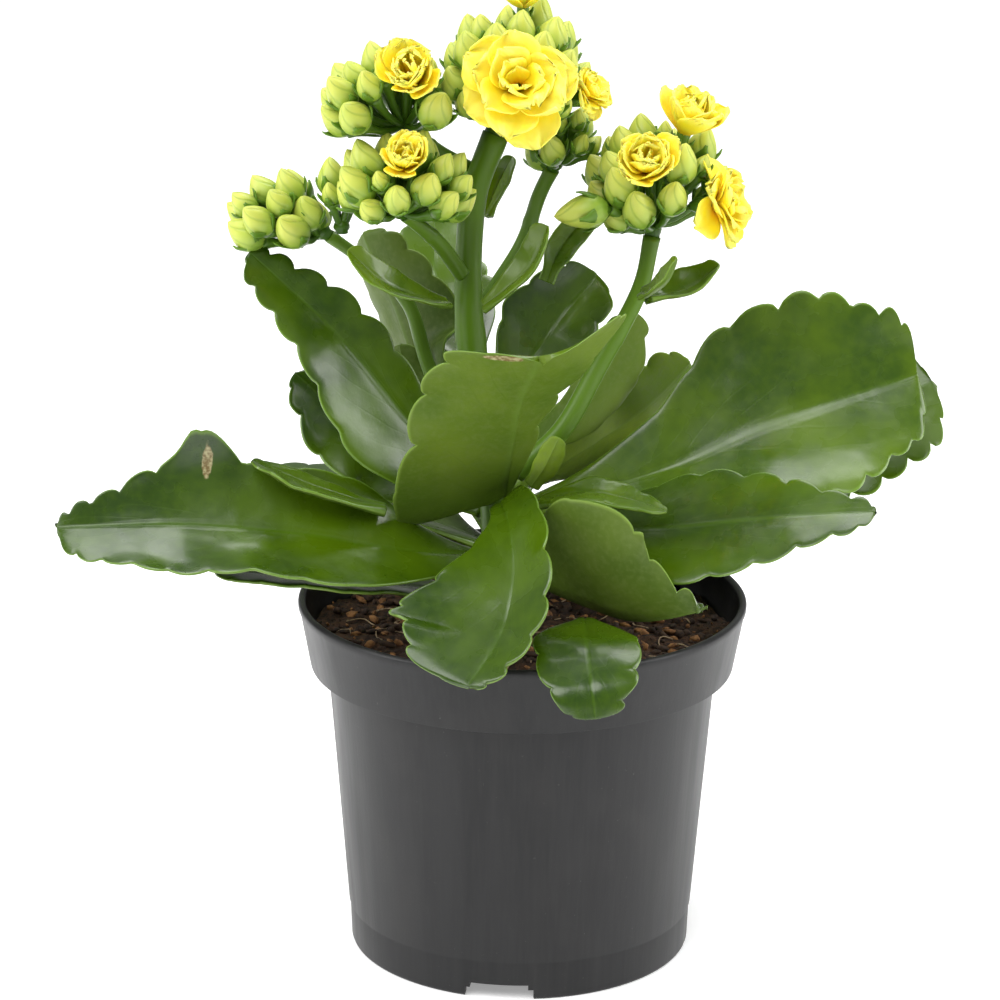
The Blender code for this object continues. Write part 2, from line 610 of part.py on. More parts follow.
def leaf_point(leaf, route, along, across):
    """A point of the leaf's surface: along 0..1 from foot to tip, across -1..1."""
    share = leaf_share(along)
    index = share * (len(route) - 1)
    low = min(int(index), len(route) - 2)
    middle = Vector(route[low]).lerp(Vector(route[low + 1]), index - low)
    forward = Vector(route[min(low + 2, len(route) - 1)] - route[max(low - 1, 0)]).normalized()
    upper = Vector(at_share(leaf["upper"], share))
    upper = (upper - forward * upper.dot(forward)).normalized()
    right = forward.cross(upper)
    side = "right" if across > 0 else "left"
    pick = 1 if across > 0 else 0
    distance = abs(across) * half_width(leaf, side, share) * lobed(leaf, along)
    distance += peak(leaf, side, share, across)
    fold = math.radians(side_value(leaf, "fold", PLAIN_BEND, pick, share))
    curl = math.radians(side_value(leaf, "curl", PLAIN_BEND, pick, share))
    sweep = side_value(leaf, "sweep", NO_SWEEP, pick, share) * distance
    bend = (curl if abs(curl) > 0.001 else 0.001) / max(leaf[side])
    reach = (math.sin(fold + bend * distance) - math.sin(fold)) / bend
    lift = (math.cos(fold) - math.cos(fold + bend * distance)) / bend
    return middle + right * math.copysign(reach, across) + upper * lift + forward * sweep


def side_value(leaf, key, otherwise, pick, share):
    """One of a leaf's values for its left (0) or right (1) half, at a share of its length."""
    values = leaf.get(key, otherwise)[pick]
    return at_share([[value] for value in values], share)[0]


def peak(leaf, side, share, across):
    """The extra width where one lobe of the margin stands out, in mm."""
    peak_side, peak_share, height = leaf.get("peak", NO_PEAK)
    if side != peak_side:
        return 0.0
    return height * across**4 * math.exp(-(((share - peak_share) / PEAK_SPREAD) ** 2))


def blade(part, name, leaf, stem, rows, columns, thickness, look):
    """A leaf: a grid bent to the leaf's surface and thickened."""
    points = [Vector(point) for point in leaf["midrib"]]
    if stem:
        points[0] = seated(points, stem, LEAF_STANDOFF)
    route = smooth_route(points, 60)
    shape = bmesh.new()
    bmesh.ops.create_grid(shape, x_segments=rows, y_segments=columns, size=1.0)
    for vertex in shape.verts:
        place = leaf_point(leaf, route, (vertex.co.x + 1.0) / 2.0, -vertex.co.y)
        vertex.co = plant_point(place)
    thing = add_object(part, name, from_bmesh(name, shape), look, 80.0)
    shell = thing.modifiers.new("thickness", "SOLIDIFY")
    shell.thickness = thickness * MM
    shell.offset = 0.0
    shell.use_even_offset = False
    return thing


def make_leaf(part, name):
    """A broad fleshy leaf with a scalloped margin."""
    look = material("leaf", (0.045, 0.13, 0.018), 0.3)
    stem = None if name in LOOSE_LEAVES else "main_stem"
    blade(part, name, LEAVES[name], stem, LEAF_ROWS, LEAF_COLUMNS, LEAF_THICKNESS, look)


def make_bract(part, name):
    """A small narrow leaf on a flower stem."""
    look = material("bract", (0.09, 0.22, 0.03), 0.35)
    blade(part, name, BRACTS[name], None, BRACT_ROWS, BRACT_COLUMNS, BRACT_THICKNESS, look)


def dome_directions(count):
    """Directions spread evenly over a ball but for its lowest part."""
    golden = math.pi * (3.0 - math.sqrt(5.0))
    lowest = -0.45
    found = []
    for index in range(count):
        height = 1.0 - (1.0 - lowest) * (index + 0.5) / count
        ring = math.sqrt(1.0 - height * height)
        angle = golden * index
        found.append(Vector((ring * math.cos(angle), ring * math.sin(angle), height)))
    return found


def hub_place(name):
    """Where the pedicels of a flower head part: just past the end of its stem."""
    head = HEADS[name]
    if "hub" in head:
        return Vector(head["hub"])
    route = stem_route(head["stem"])
    end = Vector(route[-1])
    onward = (end - Vector(route[-3])).normalized()
    return end + onward * (HUB_RADIUS + 3 * CLEARANCE)


def bud_places(name):
    """The foot and the direction of each bud of a flower head that nothing else takes."""
    head = HEADS[name]
    hub = hub_place(name)
    middle = Vector(head["middle"])
    half = Vector(head["half"])
    earlier = list(HEADS)[:list(HEADS).index(name)]
    taken = [foot + facing * BUD_LENGTH / 2 for other in earlier for foot, facing in bud_places(other)]
    places = []
    for out in dome_directions(head["places"]):
        centre = middle + Vector((out.x * half.x, out.y * half.y, out.z * half.z))
        free = all((centre - other).length > 2 * (BUD_RADIUS + BUD_ROOM) for other in taken)
        if free and not any(in_flower(centre, flower) for flower in FLOWERS.values()):
            facing = (centre - hub).normalized().lerp(Vector((0, 0, 1)), 0.2).normalized()
            places.append((centre - facing * BUD_LENGTH / 2, facing))
    return places


def in_flower(centre, flower):
    """Whether a bud with this middle would touch an open flower's bowl."""
    facing = Vector(flower["faces"]).normalized()
    away = centre - Vector(flower["middle"])
    behind = -away.dot(facing)
    aside = (away + facing * behind).length
    if behind > flower["depth"] + BUD_LENGTH / 2:
        return False
    narrowing = min(1.0, max(0.0, 1.0 - behind / flower["depth"]))
    return aside < flower["radius"] * narrowing + BUD_RADIUS + BUD_ROOM


def standing(place, facing):
    """The transform that stands a shape's Z axis along a direction at a place, in mm."""
    turn = Vector((0, 0, 1)).rotation_difference(facing).to_matrix().to_4x4()
    return Matrix.Translation(plant_point(place)) @ turn


def make_head(part, cutters, name):
    """A head of closed buds on pedicels that part from one hub."""
    look = material("bud", (0.45, 0.55, 0.10), 0.45)
    hub = hub_place(name)
    shape = bmesh.new()
    for foot, facing in bud_places(name):
        size = Matrix.Diagonal((BUD_RADIUS * MM, BUD_RADIUS * MM, BUD_LENGTH / 2 * MM, 1.0))
        centre = standing(foot + facing * BUD_LENGTH / 2, facing)
        bmesh.ops.create_uvsphere(shape, u_segments=6, v_segments=3, radius=1.0, matrix=centre @ size)
        reach = foot + facing * 1.5 - hub
        middle = standing(hub + reach / 2, reach.normalized())
        bmesh.ops.create_cone(
            shape, cap_ends=True, segments=4, radius1=PEDICEL_RADIUS * MM, radius2=PEDICEL_RADIUS * MM,
            depth=reach.length * MM, matrix=middle)
    buds = add_object(cutters, name + "_buds", from_bmesh(name + "_buds", shape), look)
    as_cutter(buds)
    core = bmesh.new()
    place = Matrix.Translation(plant_point(hub))
    bmesh.ops.create_icosphere(core, subdivisions=1, radius=HUB_RADIUS * MM, matrix=place)
    head = add_object(part, name, from_bmesh(name, core), look)
    add_boolean(head, buds, "UNION", use_self=True)


def make_flower(part, name):
    """An open flower: a lobed bowl of petals that narrows to its tube."""
    look = material("petal", (0.90, 0.72, 0.05), 0.5)
    flower = FLOWERS[name]
    radius = flower["radius"]
    depth = flower["depth"]
    shape = bmesh.new()
    bmesh.ops.create_uvsphere(shape, u_segments=20, v_segments=7, radius=1.0)
    for vertex in shape.verts:
        out = math.hypot(vertex.co.x, vertex.co.y)
        angle = math.atan2(vertex.co.y, vertex.co.x)
        ruffle = 1.0 - 0.12 * out * (1.0 + math.cos(5 * angle))
        if vertex.co.z > 0.01:
            height = -0.25 * depth * (1.0 - out) - 0.05 * depth
        else:
            height = -0.05 * depth - depth * (1.0 - out) ** 0.8
        wide = out if vertex.co.z > -0.01 else out ** 1.6
        vertex.co = Vector((
            wide * ruffle * radius * math.cos(angle),
            wide * ruffle * radius * math.sin(angle),
            height + (0.12 * depth if abs(vertex.co.z) < 0.01 else 0.0))) * MM
    shape.transform(standing(Vector(flower["middle"]), Vector(flower["faces"]).normalized()))
    add_object(part, name, from_bmesh(name, shape), look)


build()
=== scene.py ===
"""The visual model of the potted kalanchoe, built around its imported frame.

Plant positions are (right, back, up) in millimetres from the middle of the pot's rim, as in the part.
"""

import math

import bmesh
import bpy
import numpy as np
from mathutils import Matrix, Vector, noise


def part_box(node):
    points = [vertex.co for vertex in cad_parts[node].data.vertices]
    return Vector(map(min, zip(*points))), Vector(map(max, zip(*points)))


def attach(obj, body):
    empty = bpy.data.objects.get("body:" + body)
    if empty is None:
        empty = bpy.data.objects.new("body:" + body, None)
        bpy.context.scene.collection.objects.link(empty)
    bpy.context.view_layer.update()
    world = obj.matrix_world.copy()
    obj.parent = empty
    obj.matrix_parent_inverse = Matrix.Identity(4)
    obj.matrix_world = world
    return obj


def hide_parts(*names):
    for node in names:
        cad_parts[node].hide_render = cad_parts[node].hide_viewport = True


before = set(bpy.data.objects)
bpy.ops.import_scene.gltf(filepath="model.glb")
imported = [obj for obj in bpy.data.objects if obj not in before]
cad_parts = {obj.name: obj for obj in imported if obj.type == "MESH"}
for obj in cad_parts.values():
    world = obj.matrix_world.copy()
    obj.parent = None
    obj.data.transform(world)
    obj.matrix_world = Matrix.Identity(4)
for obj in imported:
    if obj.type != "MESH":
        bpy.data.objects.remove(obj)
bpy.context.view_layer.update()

MM = 0.001

# Sizes read from the frame, in millimetres.
POT_LOW, POT_HIGH = (Vector(corner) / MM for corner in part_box("pot"))
SOIL_HIGH = Vector(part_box("soil")[1]) / MM
POT_HEIGHT = POT_HIGH.z
RIM_RADIUS = (POT_HIGH.x - POT_LOW.x) / 2
POT_STEPS = 160
SOIL_RINGS, SOIL_STEPS = 60, 180
CRUMBS = 900
FIBRES = 70

# The pot's section, in millimetres.
BAND_HEIGHT = 16.0
BAND_FOOT_RADIUS = RIM_RADIUS - 2.9
BODY_TOP_RADIUS = RIM_RADIUS - 6.9
BODY_FOOT_RADIUS = RIM_RADIUS - 11.7
FOOT_RADIUS = RIM_RADIUS - 12.3
FOOT_CREASE_HEIGHT = 9.7
WALL = 1.2
LIP_HEIGHT = 2.4
LIP_WALL = 1.8
FLOOR_HEIGHT = 5.4
FOOT_RECESS = 3.6
FOOT_WIDTH = 3.0
PAD_RADIUS = 7.0
NOTCH_WIDTH = 16.0
NOTCH_AZIMUTHS = (-97.0, 23.0, 143.0)
DRAIN_HOLE_RADIUS = 4.0
DRAIN_RING_RADIUS = 26.0
CLEARANCE = 0.3

# The plant, in millimetres.
LEAF_THICKNESS = 1.8
BRACT_THICKNESS = 1.2
STALK_HALF_WIDTH = 2.0
LEAF_STANDOFF = 1.4
STATIONS = (0.15, 0.35, 0.55, 0.75, 0.92)
PLAIN_BEND = 20
LOBE_LENGTH = 9.5
NOTCH_DEPTH = 2.8
NOTCH_SHARE = 0.13
NO_PEAK = ("none", 0.0, 0.0)
PEAK_SPREAD = 0.07
BLADE_ROWS, BLADE_COLUMNS = 96, 28
USUAL_FRESHNESS = 0.15
BRACT_FRESHNESS = (0.6, 0.7)
BUD_RADIUS = 3.6
BUD_LENGTH = 10.0
BUD_ROOM = 1.2
SMALL_BUD_ROOM = 5.6
SMALL_BUD_SIZE = 0.6
BUD_UPTURN = 0.4
HUB_RADIUS = 1.8
SEPALS = 4
SEPAL_THICKNESS = 0.35
SEPAL_ROWS, SEPAL_COLUMNS = 8, 5
PETAL_THICKNESS = 0.28
PETAL_ROWS, PETAL_COLUMNS = 11, 11
GOLDEN_ANGLE = math.pi * (3.0 - math.sqrt(5.0))
DOME_FOOT = -0.45

# Stems: the route of the axis and the radius at its foot and at its head.
# "on" names the stem that a side stem grows from.
STEMS = {
    "main_stem": {
        "route": ((-4, 0, -16), (-7, 2, 27), (-11, 4, 50), (-13, 4, 70), (-12, 6, 93), (-7, 8, 108)),
        "radii": (4.0, 2.8),
    },
    "right_peduncle": {
        "route": ((2, -2, 31), (9, -1, 41), (17, 2, 55), (26, 4, 72), (29, 6, 85)),
        "radii": (2.4, 1.8),
        "on": "main_stem",
    },
    "left_peduncle": {
        "route": ((-14, 4, 35), (-22, 7, 53), (-27, 9, 68), (-36, 9, 77), (-45, 8, 84)),
        "radii": (1.9, 1.5),
        "on": "main_stem",
    },
    "front_peduncle": {
        "route": ((-14, 1, 77), (-20, -5, 86), (-27, -9, 93)),
        "radii": (1.9, 1.6),
        "on": "main_stem",
    },
    "back_peduncle": {
        "route": ((-10, 8, 68), (-1, 16, 80), (3, 15, 92), (6, 13, 99)),
        "radii": (1.8, 1.6),
        "on": "main_stem",
    },
    "upper_left_peduncle": {
        "route": ((-12, 9, 99), (-20, 8, 104), (-26, 2, 110)),
        "radii": (1.8, 1.6),
        "on": "main_stem",
    },
}

# Leaves: where the midrib runs, which way the upper side faces (evenly spaced along the leaf),
# the half widths to the left and right of the midrib at STATIONS (seen from the stem, upper side up),
# how far each half is folded up at the midrib and how far it curls up across its width (degrees,
# foot to tip), how far each half leans towards the tip for each mm of its width, and a flap: its side,
# its share of the length and its height. Fold, curl and sweep have a row for the left half and one for
# the right, or one number for both. A leaf without a fold or a curl has PLAIN_BEND.
LEAVES = {
    "left_leaf": {
        "midrib": ((-9, -4, 9), (-28, -14, 15), (-51, -18, 20), (-78, -20, 23), (-106, -22, 23)),
        "upper": ((0, -0.3, 1), (0, -0.6, 0.8)),
        "left": (9, 19, 19, 19, 12), "right": (9, 17, 16, 16, 6),
        "fold": ((-5, 0), (5, 30)), "curl": ((20, 40), (20, 50)),
        "peak": ("right", 0.70, 8),
    },
    "tall_left_leaf": {
        "midrib": ((-15, 3, 25), (-27, -1, 43), (-43, -2, 63), (-63, 0, 82)),
        "upper": ((0.35, -0.85, 0.4),),
        "left": (12, 18, 15, 10, 7), "right": (4, 8, 10, 9, 5),
        "fold": 5, "curl": ((10, 10), (15, 15)),
    },
    "behind_left_leaf": {
        "midrib": ((-16, 17, 18), (-29, 18, 29), (-42, 19, 37), (-54, 20, 48)),
        "upper": ((-0.1, -0.6, 0.8),),
        "left": (6, 15, 17, 14, 7), "right": (4, 7, 8, 7, 4),
        "fold": 5, "curl": ((10, 20), (10, 20)),
    },
    "back_left_leaf": {
        "midrib": ((-16, 12, 38), (-24, 19, 50), (-30, 24, 64), (-38, 28, 80)),
        "upper": ((0.35, 0.7, 0.6),),
        "left": (7, 14, 16, 14, 9), "right": (6, 11, 13, 12, 8),
        "fold": 10, "curl": 20,
    },
    "back_right_leaf": {
        "midrib": ((-3, 10, 46), (3, 19, 54), (9, 24, 62), (17, 26, 71)),
        "upper": ((0, -0.85, 0.45),),
        "left": (5, 11, 14, 12, 8), "right": (3, 7, 10, 11, 9),
        "fold": 10, "curl": 20,
    },
    "front_center_leaf": {
        "midrib": ((-3, -7, 27), (-3, -17, 41), (-1, -29, 56), (3, -41, 69)),
        "upper": ((0.1, 0.75, 0.6),),
        "left": (3, 5, 8, 12, 20), "right": (25, 27, 25, 24, 20),
        "fold": ((5, 5), (-28, -5)), "curl": ((10, 50), (0, 0)),
        "sweep": ((0, 0, 0.3, 1.0), (-0.7, -0.45, -0.2, 0)),
    },
    "left_inner_leaf": {
        "midrib": ((-14, 9, 26), (-21, 11, 38), (-26, 13, 48), (-29, 13, 57)),
        "upper": ((0.3, 0.8, 0.4),),
        "left": (2, 4, 5, 5, 4), "right": (2, 4, 5, 5, 4),
        "fold": 5, "curl": 15,
    },
    "right_shade_leaf": {
        "midrib": ((5, 9, 33), (12, 14, 41), (19, 19, 50), (26, 22, 63)),
        "upper": ((-0.3, 0.85, 0.3),),
        "left": (4, 9, 12, 12, 7), "right": (3, 5, 6, 6, 5),
        "fold": 5, "curl": 10,
    },
    "right_bright_leaf": {
        "midrib": ((-1, 18, 21), (18, 33, 29), (30, 37, 37), (40, 40, 46)),
        "upper": ((-0.3, 0.8, 0.5),),
        "left": (4, 10, 15, 16, 10), "right": (4, 9, 12, 11, 9),
        "fold": 5, "curl": 10,
    },
    "right_big_leaf": {
        "midrib": ((11, 8, 20), (33, 12, 27), (58, 17, 37), (93, 23, 48)),
        "upper": ((-0.2, -0.75, 0.6), (-0.3, -0.9, 0.35)),
        "left": (5, 14, 27, 28, 17), "right": (6, 14, 23, 27, 17),
        "fold": 10, "curl": 15,
        "sweep": ((0.3, 0.3), (0, 0)),
    },
    "far_right_leaf": {
        "midrib": ((10, 14, 13), (43, 32, 19), (72, 42, 27), (99, 46, 40)),
        "upper": ((-0.3, -0.75, 0.6),),
        "left": (3, 8, 16, 22, 18), "right": (5, 12, 18, 23, 19),
        "fold": 5, "curl": 10,
    },
    "right_low_leaf": {
        "midrib": ((9, -6, 16), (29, -18, 22), (53, -26, 27), (79, -32, 31)),
        "upper": ((0, -0.35, 0.9),),
        "left": (6, 12, 16, 12, 5), "right": (7, 15, 17, 12, 6),
        "fold": ((15, 15), (-10, -10)), "curl": ((10, 10), (-10, -10)),
    },
    "right_small_leaf": {
        "midrib": ((4, -14, 27), (15, -20, 31), (24, -25, 31), (32, -30, 30)),
        "upper": ((0, -0.3, 1),),
        "left": (4, 6, 5, 4, 2), "right": (4, 6, 6, 5, 3),
        "fold": 10, "curl": 10,
    },
    "right_folded_leaf": {
        "midrib": ((5, -10, 7), (14, -22, 6), (26, -30, 5), (40, -36, 9)),
        "upper": ((0, -0.1, 1),),
        "left": (5, 9, 11, 9, 5), "right": (10, 30, 29, 19, 7),
        "fold": ((40, 40), (60, 75)), "curl": ((10, 10), (20, 20)),
        "sweep": ((0, 0), (0.1, 0.4)),
    },
    "front_left_leaf": {
        "midrib": ((-4, -7, 17), (-5, -16, 27), (-3, -27, 25), (-2, -39, 17), (-5, -50, 7), (-12, -60, -1)),
        "upper": ((-0.1, -0.6, 0.8), (-0.2, -0.8, 0.6)),
        "left": (4, 9, 12, 13, 7), "right": (2, 4, 18, 28, 18),
        "fold": ((20, 20), (-10, 0)), "curl": ((20, 20), (10, 10)),
        "sweep": ((0, 0), (-0.4, -0.1, 0.1, 0.2)),
    },
    "front_small_leaf": {
        "midrib": ((14, -34, 5), (14, -48, 5), (15, -58, -1), (16, -61, -8)),
        "upper": ((0, -0.3, 0.9), (0, -0.95, 0.3)),
        "left": (8, 12, 12, 11, 7), "right": (8, 12, 12, 11, 7),
        "fold": 0, "curl": 0,
    },
    "low_left_leaf": {
        "midrib": ((-10, -4, 1), (-33, -14, 7), (-53, -22, 11), (-70, -26, 14)),
        "upper": ((0, -0.1, 1),),
        "left": (6, 9, 10, 9, 5), "right": (5, 6, 6, 5, 3),
        "fold": 5, "curl": 10,
    },
    "edge_left_leaf": {
        "midrib": ((-32, -11, 24), (-40, -13, 27), (-50, -15, 31), (-62, -16, 37)),
        "upper": ((0, -0.2, 1),),
        "left": (3, 5, 6, 6, 4), "right": (2, 4, 4, 4, 2),
        "fold": 10, "curl": 20,
    },
    "axil_leaf": {
        "midrib": ((2, -9, 30), (5, -11, 35), (8, -12, 42)),
        "upper": ((0.3, 0.9, 0.2),),
        "left": (2, 3, 3, 3, 2), "right": (2, 3, 3, 3, 2),
        "fold": 5, "curl": 10,
    },
    "back_leaf": {
        "midrib": ((-8, 14, 12), (-8, 34, 18), (-11, 58, 26), (-14, 80, 30)),
        "upper": ((0, 0.2, 1), (0, 0.5, 0.85)),
        "left": (6, 14, 20, 19, 12), "right": (6, 14, 20, 18, 11),
        "fold": 8, "curl": 20,
    },
    "back_low_left_leaf": {
        "midrib": ((-10, 12, 8), (-30, 28, 12), (-52, 42, 14), (-72, 54, 12)),
        "upper": ((-0.1, 0.2, 1), (-0.2, 0.4, 0.85)),
        "left": (5, 12, 17, 15, 9), "right": (5, 12, 17, 16, 10),
        "fold": 8, "curl": 15,
    },
    "back_low_right_leaf": {
        "midrib": ((6, 14, 6), (20, 34, 8), (36, 54, 10), (48, 72, 10)),
        "upper": ((0.1, 0.2, 1), (0.25, 0.4, 0.85)),
        "left": (5, 12, 16, 14, 9), "right": (5, 12, 17, 15, 9),
        "fold": 8, "curl": 15,
    },
    "back_upright_leaf": {
        "midrib": ((-11, 15, 50), (-17, 31, 58), (-21, 44, 65), (-22, 55, 77)),
        "upper": ((0, -0.6, 0.8),),
        "left": (4, 10, 14, 13, 8), "right": (4, 10, 14, 12, 8),
        "fold": 8, "curl": 15,
    },
}

# Bracts: the narrow plain-edged leaves under the flower heads.
BRACTS = {
    "bract_a": {
        "midrib": ((-18, 0, 70), (-24, -6, 73), (-32, -12, 78), (-40, -14, 86)),
        "upper": ((0.1, -0.4, 0.9), (0.3, -0.5, 0.6)),
        "left": (4, 5, 6, 6, 4), "right": (3, 4, 5, 4, 3),
    },
    "bract_b": {
        "midrib": ((-9, -2, 70), (-4, -5, 75), (2, -8, 82), (5, -10, 91)),
        "upper": ((-0.5, -0.5, 0.6),),
        "left": (3, 4, 5, 5, 4), "right": (3, 4, 5, 5, 4),
    },
    "bract_c": {
        "midrib": ((5, 18, 71), (8, 20, 78), (12, 22, 83), (17, 22, 88)),
        "upper": ((0, -1, 0.3),),
        "left": (2, 4, 4, 4, 3), "right": (2, 4, 4, 4, 3),
    },
    "bract_d": {
        "midrib": ((28, 6, 70), (33, 10, 70), (40, 12, 72), (45, 12, 77)),
        "upper": ((-0.3, -0.4, 0.8),),
        "left": (3, 5, 6, 5, 3), "right": (3, 5, 6, 5, 3),
    },
    "bract_e": {
        "midrib": ((27, -1, 73), (30, -6, 76), (32, -9, 79), (34, -11, 84)),
        "upper": ((-0.6, -0.2, 0.6),),
        "left": (2, 3, 4, 3, 2), "right": (2, 3, 4, 3, 2),
    },
    "bract_f": {
        "midrib": ((-9, 12, 88), (-7, 15, 93), (-5, 17, 97), (-3, 17, 101)),
        "upper": ((-0.4, -0.8, 0.3),),
        "left": (2, 3, 4, 3, 2), "right": (2, 3, 4, 3, 2),
    },
}

# Flower heads: the stem that carries the head, or the point of its hub where its pedicels part,
# the middle and half sizes of the head of buds, and how many bud places are spread over it
# before those that a flower or an earlier head takes are left out.
HEADS = {
    "head_top": {
        "stem": "main_stem", "middle": (-2, 4, 122),
        "half": (15, 14, 14), "places": 38,
    },
    "head_upper_left": {
        "stem": "upper_left_peduncle", "middle": (-30, -4, 118),
        "half": (14, 13, 9), "places": 27,
    },
    "head_front": {
        "stem": "front_peduncle", "middle": (-27, -9, 99),
        "half": (13, 11, 9), "places": 23,
    },
    "head_left": {
        "stem": "left_peduncle", "middle": (-57, 6, 89),
        "half": (9, 9, 7), "places": 13,
    },
    "head_left_small": {
        "hub": (-42, 3, 88), "middle": (-42, 3, 96),
        "half": (4, 5, 4), "places": 6,
    },
    "head_right": {
        "stem": "right_peduncle", "middle": (30, 6, 97),
        "half": (14, 13, 13), "places": 34,
    },
    "head_back": {
        "stem": "back_peduncle", "middle": (9, 13, 105),
        "half": (7, 8, 8), "places": 11,
    },
}

# Open flowers: the middle of the flower, the way it faces, its radius and its depth.
FLOWERS = {
    "flower_upper_left": {
        "middle": (-26, -17, 127), "faces": (-0.1, -0.75, 0.6),
        "radius": 8.0, "depth": 9.0,
    },
    "flower_top": {
        "middle": (-2, -17, 125), "faces": (0.05, -0.85, 0.45),
        "radius": 12.0, "depth": 11.0,
    },
    "flower_crown": {
        "middle": (-1, 4, 141), "faces": (0, -0.2, 1),
        "radius": 6.0, "depth": 7.0,
    },
    "flower_top_right": {
        "middle": (15, 2, 120), "faces": (0.7, -0.3, 0.5),
        "radius": 6.0, "depth": 7.0,
    },
    "flower_front": {
        "middle": (-27, -20, 109), "faces": (0, -0.7, 0.75),
        "radius": 6.5, "depth": 8.0,
    },
    "flower_right_cup": {
        "middle": (27, -10, 106), "faces": (0, -0.7, 0.6),
        "radius": 8.0, "depth": 9.0,
    },
    "flower_right_upper": {
        "middle": (37, 4, 113), "faces": (0.3, -0.2, 0.9),
        "radius": 8.5, "depth": 9.0,
    },
    "flower_right_side": {
        "middle": (46, -2, 95), "faces": (0.9, -0.4, 0.2),
        "radius": 9.0, "depth": 9.0,
    },
}

# Leaves whose foot isn't on the main stem.
LOOSE_LEAVES = ("front_small_leaf", "axil_leaf", "right_small_leaf", "edge_left_leaf")
# Leaves whose margin has no lobes.
PLAIN_LEAVES = ("axil_leaf",)
# How fresh each leaf's green is, from 0, old and dark, to 1, young and bright.
FRESHNESS = {
    "right_bright_leaf": 1.0, "right_shade_leaf": 0.5, "right_big_leaf": 0.35,
    "axil_leaf": 0.9, "right_small_leaf": 0.5, "front_center_leaf": 0.4,
}
# Dry scars: the place on the leaf, across -1..1 and along 0..1, and the half sizes in both.
SCARS = {
    "front_center_leaf": (0.5, 0.975, 0.3, 0.024),
    "left_leaf": (0.78, 0.675, 0.16, 0.012),
}
# Long pale buds: foot, direction, size and stretch.
LONG_BUDS = {"head_right": ((19, -4, 94), (-0.95, -0.2, -0.12), 1.15, 1.3)}

# The camera and the lights. The target is in mm above the floor, the distance in metres, angles in degrees.
CAMERA_LENS = 139.4
CAMERA_TARGET = (-5.4, 0.0, 108.3)
CAMERA_DISTANCE = 0.9
CAMERA_ELEVATION = 17.35
CAMERA_ROLL = 0.42
FLOOR_HALF_SIZE = 6.0
SURROUNDINGS = 0.30
WINDOW_POWER = 7.0
TOP_POWER = 8.0
KEY_STRENGTH = 1.5


# ---------------------------------------------------------------- geometry helpers

def smooth_route(points, count):
    """Points evenly spaced along a smooth curve through the given points, in mm."""
    given = np.asarray(points, float)
    ends = np.vstack([2 * given[0] - given[1], given, 2 * given[-1] - given[-2]])
    share = np.linspace(0.0, 1.0, 24, endpoint=False)[:, None]
    pieces = []
    for a, b, c, d in zip(ends, ends[1:], ends[2:], ends[3:]):
        cubic = 3 * b - a - 3 * c + d
        square = 2 * a - 5 * b + 4 * c - d
        pieces.append(0.5 * (2 * b + (c - a) * share + square * share**2 + cubic * share**3))
    line = np.vstack(pieces + [given[-1:]])
    run = np.concatenate([[0.0], np.cumsum(np.linalg.norm(np.diff(line, axis=0), axis=1))])
    at = np.linspace(0.0, run[-1], count)
    return np.stack([np.interp(at, run, line[:, axis]) for axis in range(3)], axis=1)


def unit(vectors):
    """Vectors of length one."""
    return vectors / np.maximum(np.linalg.norm(vectors, axis=-1, keepdims=True), 1e-9)


def smoothstep(low, high, value):
    """0 below low, 1 above high, smooth between."""
    share = np.clip((value - low) / (high - low), 0.0, 1.0)
    return share * share * (3.0 - 2.0 * share)


def stem_radius(stem, share):
    """A stem's radius at a share of its length."""
    foot, head = STEMS[stem]["radii"]
    return foot + (head - foot) * share


def stem_route(stem, count=40):
    """A stem's axis, with a side stem's foot seated on the stem that carries it."""
    points = [Vector(point) for point in STEMS[stem]["route"]]
    carrier = STEMS[stem].get("on")
    if carrier:
        points[0] = seated(points, carrier, STEMS[stem]["radii"][0] * 0.9)
    return smooth_route(points, count)


def seated(points, stem, standoff):
    """The point beside a stem's surface from which a leaf or a side stem leaves it."""
    axis = stem_route(stem)
    nearest = int(np.argmin(np.linalg.norm(axis - np.asarray(points[0]), axis=1)))
    nearest = min(max(nearest, 1), len(axis) - 2)
    centre = Vector(axis[nearest])
    along = Vector(axis[nearest + 1] - axis[nearest - 1]).normalized()
    out = Vector(points[0]) - centre
    out -= along * out.dot(along)
    reach = stem_radius(stem, nearest / (len(axis) - 1)) + CLEARANCE + standoff
    return centre + out.normalized() * reach


def hub_place(name):
    """Where the pedicels of a flower head part: just past the end of its stem."""
    head = HEADS[name]
    if "hub" in head:
        return Vector(head["hub"])
    route = stem_route(head["stem"])
    end = Vector(route[-1])
    onward = (end - Vector(route[-3])).normalized()
    return end + onward * (HUB_RADIUS + 3 * CLEARANCE)


def plant_points(points):
    """Plant positions in mm from the rim's middle, as world positions in metres."""
    return (np.asarray(points, float) + [0.0, 0.0, POT_HEIGHT]) * MM


def turned_to(facing):
    """The 3 by 3 rotation that takes +Z to a direction."""
    return np.array(Vector((0, 0, 1)).rotation_difference(Vector(facing).normalized()).to_matrix())


def wobble(points, size, strength, seed=0.0):
    """Smooth pseudo-random lengths at points, features of about that size, both in mm."""
    flat = np.asarray(points, float).reshape(-1, 3)
    found = [noise.noise(Vector(point) / size + Vector((seed, seed * 1.7, -seed))) for point in flat]
    return np.array(found).reshape(np.asarray(points).shape[:-1]) * strength


def border(index):
    """The vertex numbers round the edge of a grid, each once."""
    return [*index[:, 0], *index[-1, 1:], *index[::-1, -1][1:], *index[0, ::-1][1:-1]]


def place_grid(rows, columns, low=0.0):
    """Texture places of a grid: 0..1 across, low..1 along."""
    return np.stack(np.meshgrid(np.linspace(0, 1, columns), np.linspace(low, 1, rows)), axis=-1)


